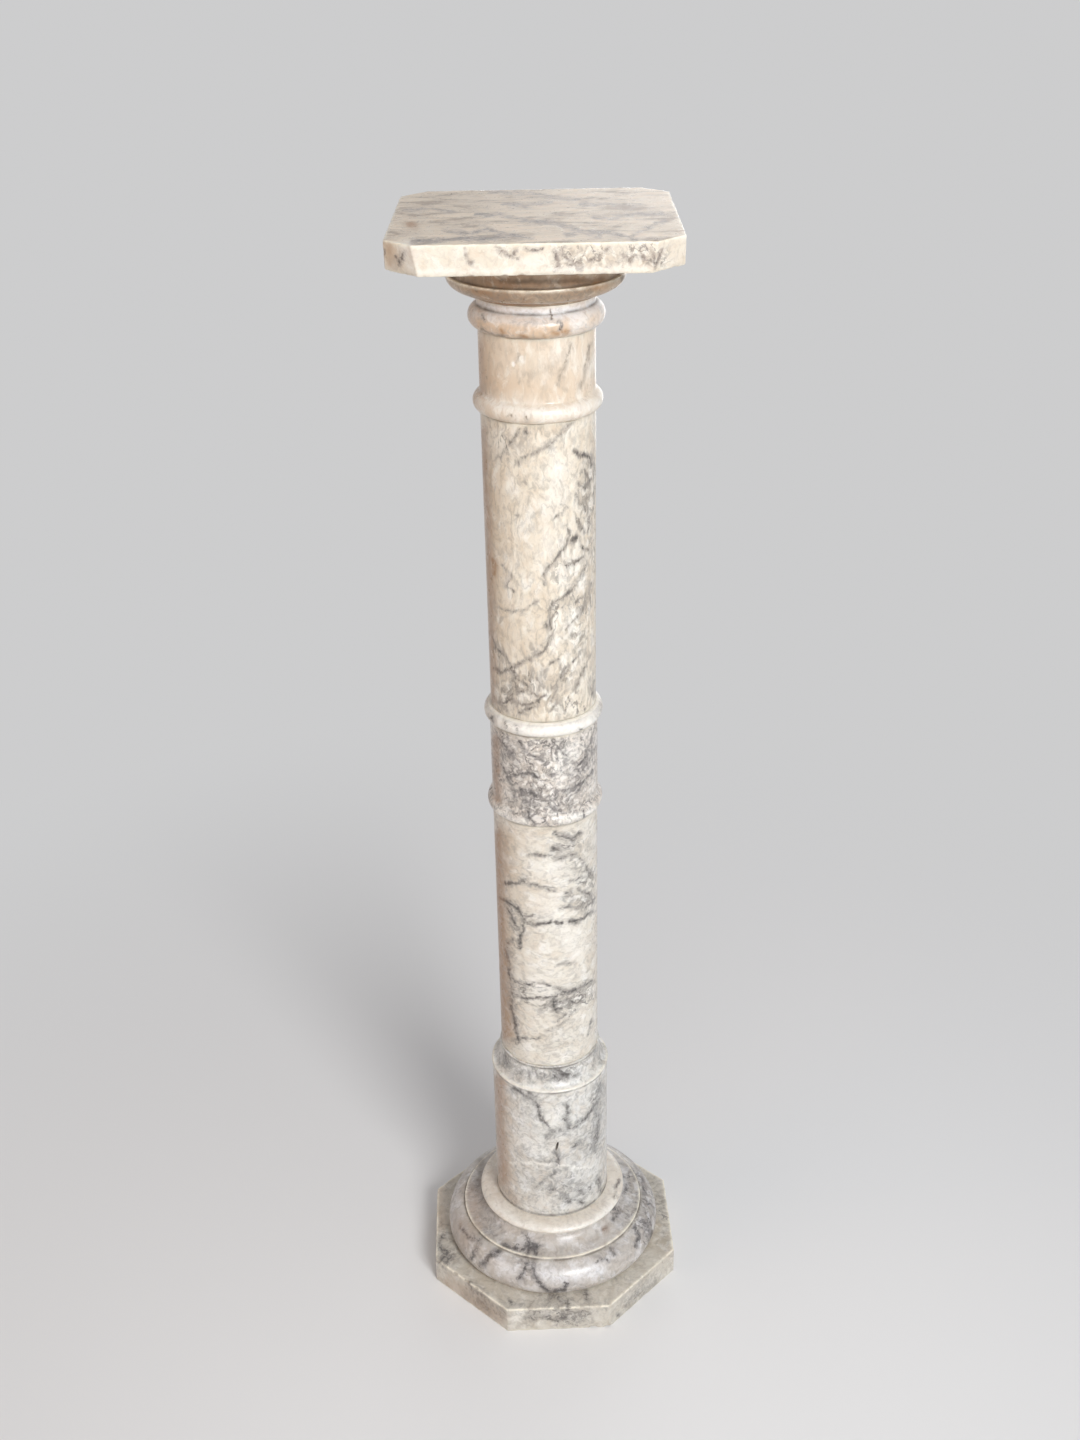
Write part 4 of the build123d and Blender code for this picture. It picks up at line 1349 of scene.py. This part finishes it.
def paint_front(stone, pixels, seen):
    """Put the photograph's marks on the side that it shows."""
    front = np.flatnonzero(seen > 0)
    moved = waver(stone, front, pixels[front], FRONT_WAVER)
    for kind, strokes in MARKS[stone.node].items():
        for half_width, strength, *line in strokes:
            if kind == "cloud":
                half_width *= CLOUD_SPREAD
                strength = min(strength * CLOUD_GAIN, MOST_CLOUD)
            reach = MARK_REACH * half_width
            if kind == "vein":
                reach = max(VEIN_REACH * half_width, LEAST_REACH)
            inside, apart = near_line(moved, np.array(line, float), reach)
            near = front[inside]
            if kind == "vein":
                amount = np.clip(1 - apart / reach, 0, 1)
            else:
                amount = np.exp(-(apart / half_width) ** 2)
            stone.raise_mark(kind, amount * strength * np.sqrt(seen[near]), near)


def paint_unseen(stone, seen):
    """Veins wandering at random over the sides and back, which the photograph doesn't show."""
    radius = np.hypot(stone.places[:, 0], stone.places[:, 1]).max() / MM
    turn = np.arctan2(stone.places[:, 1], stone.places[:, 0])
    turn = np.where(turn < -math.pi / 2, turn + 2 * math.pi, turn)
    flat = np.stack([turn * radius, stone.places[:, 2] / MM], axis=1)
    hidden = np.flatnonzero(seen < HIDDEN_BELOW)
    moved = waver(stone, hidden, flat[hidden], BACK_WAVER)
    low, high = stone.foot / MM, stone.head / MM
    count = int(radius * math.pi * (high - low + VEIN_SPARE) * VEIN_DENSITY)
    for _ in range(count):
        line = [np.array([rng.uniform(-0.5, 1.5) * math.pi * radius,
                          rng.uniform(low - VEIN_MARGIN, high + VEIN_MARGIN)])]
        heading = rng.uniform(*VEIN_SLOPES)
        for _ in range(rng.integers(*VEIN_STEPS)):
            heading += rng.uniform(*VEIN_TURNS)
            stride = rng.uniform(*VEIN_STRIDES)
            line.append(line[-1] + stride * np.array([math.cos(heading), math.sin(heading)]))
        half_width = rng.uniform(*VEIN_WIDTHS)
        strength = rng.uniform(*VEIN_STRENGTHS)
        reach = max(VEIN_REACH * half_width, LEAST_REACH)
        inside, apart = near_line(moved, np.array(line), reach)
        near = hidden[inside]
        here = 1 - seen[near]
        stone.raise_mark("vein", strength * here * np.clip(1 - apart / reach, 0, 1), near)
        haze = np.exp(-(apart / (HAZE_WIDTHS * half_width + HAZE_MORE)) ** 2)
        stone.raise_mark("cloud", HAZE_STRENGTH * here * haze, near)


def paint_web(stone, seen):
    """Patches of net, at random round the back and low on the front."""
    least, most, front = WEB_LEVELS[stone.node]
    shift = rng.uniform(0, 50, 3)
    patch = [noise.fractal(Vector(place * WEB_SCALE + shift), *WEB_FRACTAL)
             for place in stone.places]
    back = least + (most - least) * smooth_step(np.array(patch), *WEB_STEP)
    stone.raise_mark("web", back * (1 - seen) + front * seen)


def paint_seams(stone):
    """Grime and painted shade along both beds and in the inner corners."""
    upright = np.abs(stone.normals[:, 2]) <= BED_NORMAL
    for level, strength in zip((stone.foot, stone.head), SEAM_SHADE_AND_GRIME[stone.node]):
        spread = np.exp(-np.abs(stone.places[:, 2] - level) / SEAM_REACH)
        stone.raise_mark("grime_and_shade", spread * strength * upright)
    stone.raise_mark("grime_and_shade", stone.marks["corner"] * CORNER_SHADE_AND_GRIME)


def nibble(stone):
    """Rub and nick the arrises unevenly."""
    edge = np.flatnonzero(stone.marks["arris"] > NICK_FROM)
    rough = [noise.fractal(Vector(stone.places[i]) * NICK_SCALE, *NICK_FRACTAL) for i in edge]
    amount = np.zeros(len(stone.places))
    amount[edge] = stone.marks["arris"][edge] * np.clip(np.array(rough) + NICK_EVEN, 0, 1)
    stone.push(amount * NICK_DEPTH)


def sink_pit(stone):
    """Natural pit in the drum's face."""
    angle = math.radians(PIT_ANGLE)
    x, y, z = stone.places.T / MM
    across = y * math.cos(angle) - x * math.sin(angle)
    rise = z - PIT_LEVEL
    share = ((across - PIT_SLANT * rise) / PIT_HALF_WIDTH) ** 2 + (rise / PIT_HALF_HEIGHT) ** 2
    depth = np.sqrt(np.clip(1 - share, 0, 1)) * (y < 0)
    stone.push(depth * PIT_DEPTH * MM)
    # Darker by its depth: painted shade in the hollow, and grime
    stone.raise_mark("grime_and_shade", np.clip(depth * PIT_SHADE_AND_GRIME, 0, 1))


def break_edges(stones, pixels):
    """Knocks and chips where the photograph shows them."""
    slab = stones["plinth"]
    for angle, edge, radius, depth in PLINTH_KNOCKS:
        turn = math.radians(angle)
        off_middle = (turn + math.pi / 8) % (math.pi / 4) - math.pi / 8
        out = (radius - depth) * math.sqrt(0.5)
        reach = PLINTH_HALF / math.cos(off_middle) + out
        level = slab.head / MM + out if edge > 0 else slab.foot / MM - out
        centre = np.array([reach * math.cos(turn), reach * math.sin(turn), level]) * MM
        slab.bite(centre, radius * MM)
    for node, place, radius, depth, shown in CHIPS:
        stone = stones[node]
        apart = np.linalg.norm(pixels[node] - np.array(place), axis=1)
        sight = np.array(CAMERA_PLACE) - stone.places
        turned_away = (stone.normals * sight).sum(axis=1) <= 0
        apart += FAR_SIDE * turned_away - ARRIS_PULL * stone.marks["arris"]
        nearest = np.argmin(apart)
        centre = stone.places[nearest] + stone.normals[nearest] * (radius - depth) * MM
        stone.bite(centre, radius * MM, shown)


def paint(stones):
    """Give every stone the marks that its material reads, and its wear."""
    pixels = {node: to_photo(stone.places) for node, stone in stones.items()}
    for node, stone in stones.items():
        for name in ("warm", "cloud", "web", "vein", "stain_and_shade", "white", "grime_and_shade"):
            stone.marks[name] = np.zeros(len(stone.places))
        stone.marks["upward"] = smooth_step(stone.normals[:, 2], *UPWARD_FADE)
        sight = np.array(CAMERA_PLACE) - stone.places
        sight /= np.linalg.norm(sight, axis=1, keepdims=True)
        seen = smooth_step((stone.normals * sight).sum(axis=1), *SEEN_FADE)
        paint_front(stone, pixels[node], seen)
        paint_unseen(stone, seen)
        paint_web(stone, seen)
        paint_seams(stone)
        nibble(stone)
    sink_pit(stones["lower_drum"])
    break_edges(stones, pixels)


def dress(stones):
    """Put the stones in the place of the plain ones."""
    for node, stone in stones.items():
        piece = add_object(node + "_stone", stone.mesh())
        piece.data.materials.append(Marble(node + "_marble", LOOKS[node]).material)
        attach(piece, "root")
        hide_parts(node)


def dress_dowels():
    """Rusty steel on the hidden dowels, which keep their own meshes."""
    material = bpy.data.materials.new("dowel_steel")
    tree = Tree(material)
    place = tree.add("TexCoord").outputs["Object"]
    rust = tree.ramp(tree.noise(place, 120.0, 5.0), 0.45, 0.6)
    body = tree.mix(rust, colour(118, 114, 110), colour(122, 84, 58))
    inputs = {"Base Color": body, "Metallic": 0.6, "Roughness": 0.55}
    tree.end(tree.add("BsdfPrincipled", inputs))
    for name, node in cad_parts.items():
        if name.endswith("_dowel"):
            for slot in node.material_slots:
                slot.material = material


# Stage

def make_floor():
    """Pale floor, which fades into an even background away from the column."""
    mesh = bpy.data.meshes.new("floor")
    corners = [(-1, -1), (1, -1), (1, 1), (-1, 1)]
    corners = [(x * FLOOR_REACH, y * FLOOR_REACH, 0) for x, y in corners]
    mesh.from_pydata(corners, [], [(0, 1, 2, 3)])
    floor = add_object("floor", mesh)
    material = bpy.data.materials.new("floor")
    tree = Tree(material)
    place = tree.add("TexCoord").outputs["Object"]
    away = tree.add("VectorMath", {0: place}, operation="LENGTH").outputs["Value"]
    far = tree.times(tree.ramp(away, *FLOOR_FADE), tree.seen_rays())
    shader = tree.add("BsdfPrincipled", {"Base Color": FLOOR_COLOUR, "Roughness": 0.8})
    glow = tree.add("Emission", {"Color": BACKGROUND, "Strength": 1.0})
    tree.end(tree.add("MixShader", {0: far, 1: shader.outputs[0], 2: glow.outputs[0]}))
    mesh.materials.append(material)


def make_lamp(name, place, size, power, warmth):
    data = bpy.data.lights.new(name, "AREA")
    data.shape = "DISK"
    data.size = size
    data.energy = power
    data.color = warmth
    lamp = add_object(name, data)
    lamp.location = place
    lamp.rotation_mode = "QUATERNION"
    lamp.rotation_quaternion = (LAMP_AIM - Vector(place)).to_track_quat("-Z", "Y")


def make_world():
    """Soft light from all round, and a plain background."""
    world = bpy.data.worlds.new("studio")
    bpy.context.scene.world = world
    tree = Tree(world)
    soft = tree.add("Background", {"Color": WORLD_COLOUR, "Strength": WORLD_STRENGTH})
    plain = tree.add("Background", {"Color": BACKGROUND, "Strength": 1.0})
    inputs = {0: tree.seen_rays(), 1: soft.outputs[0], 2: plain.outputs[0]}
    tree.end(tree.add("MixShader", inputs), "World")


make_camera()
stones = make_stones()
paint(stones)
dress(stones)
dress_dowels()
make_floor()
for lamp in LAMPS:
    make_lamp(*lamp)
make_world()

scene = bpy.context.scene
scene.view_settings.view_transform = "Standard"
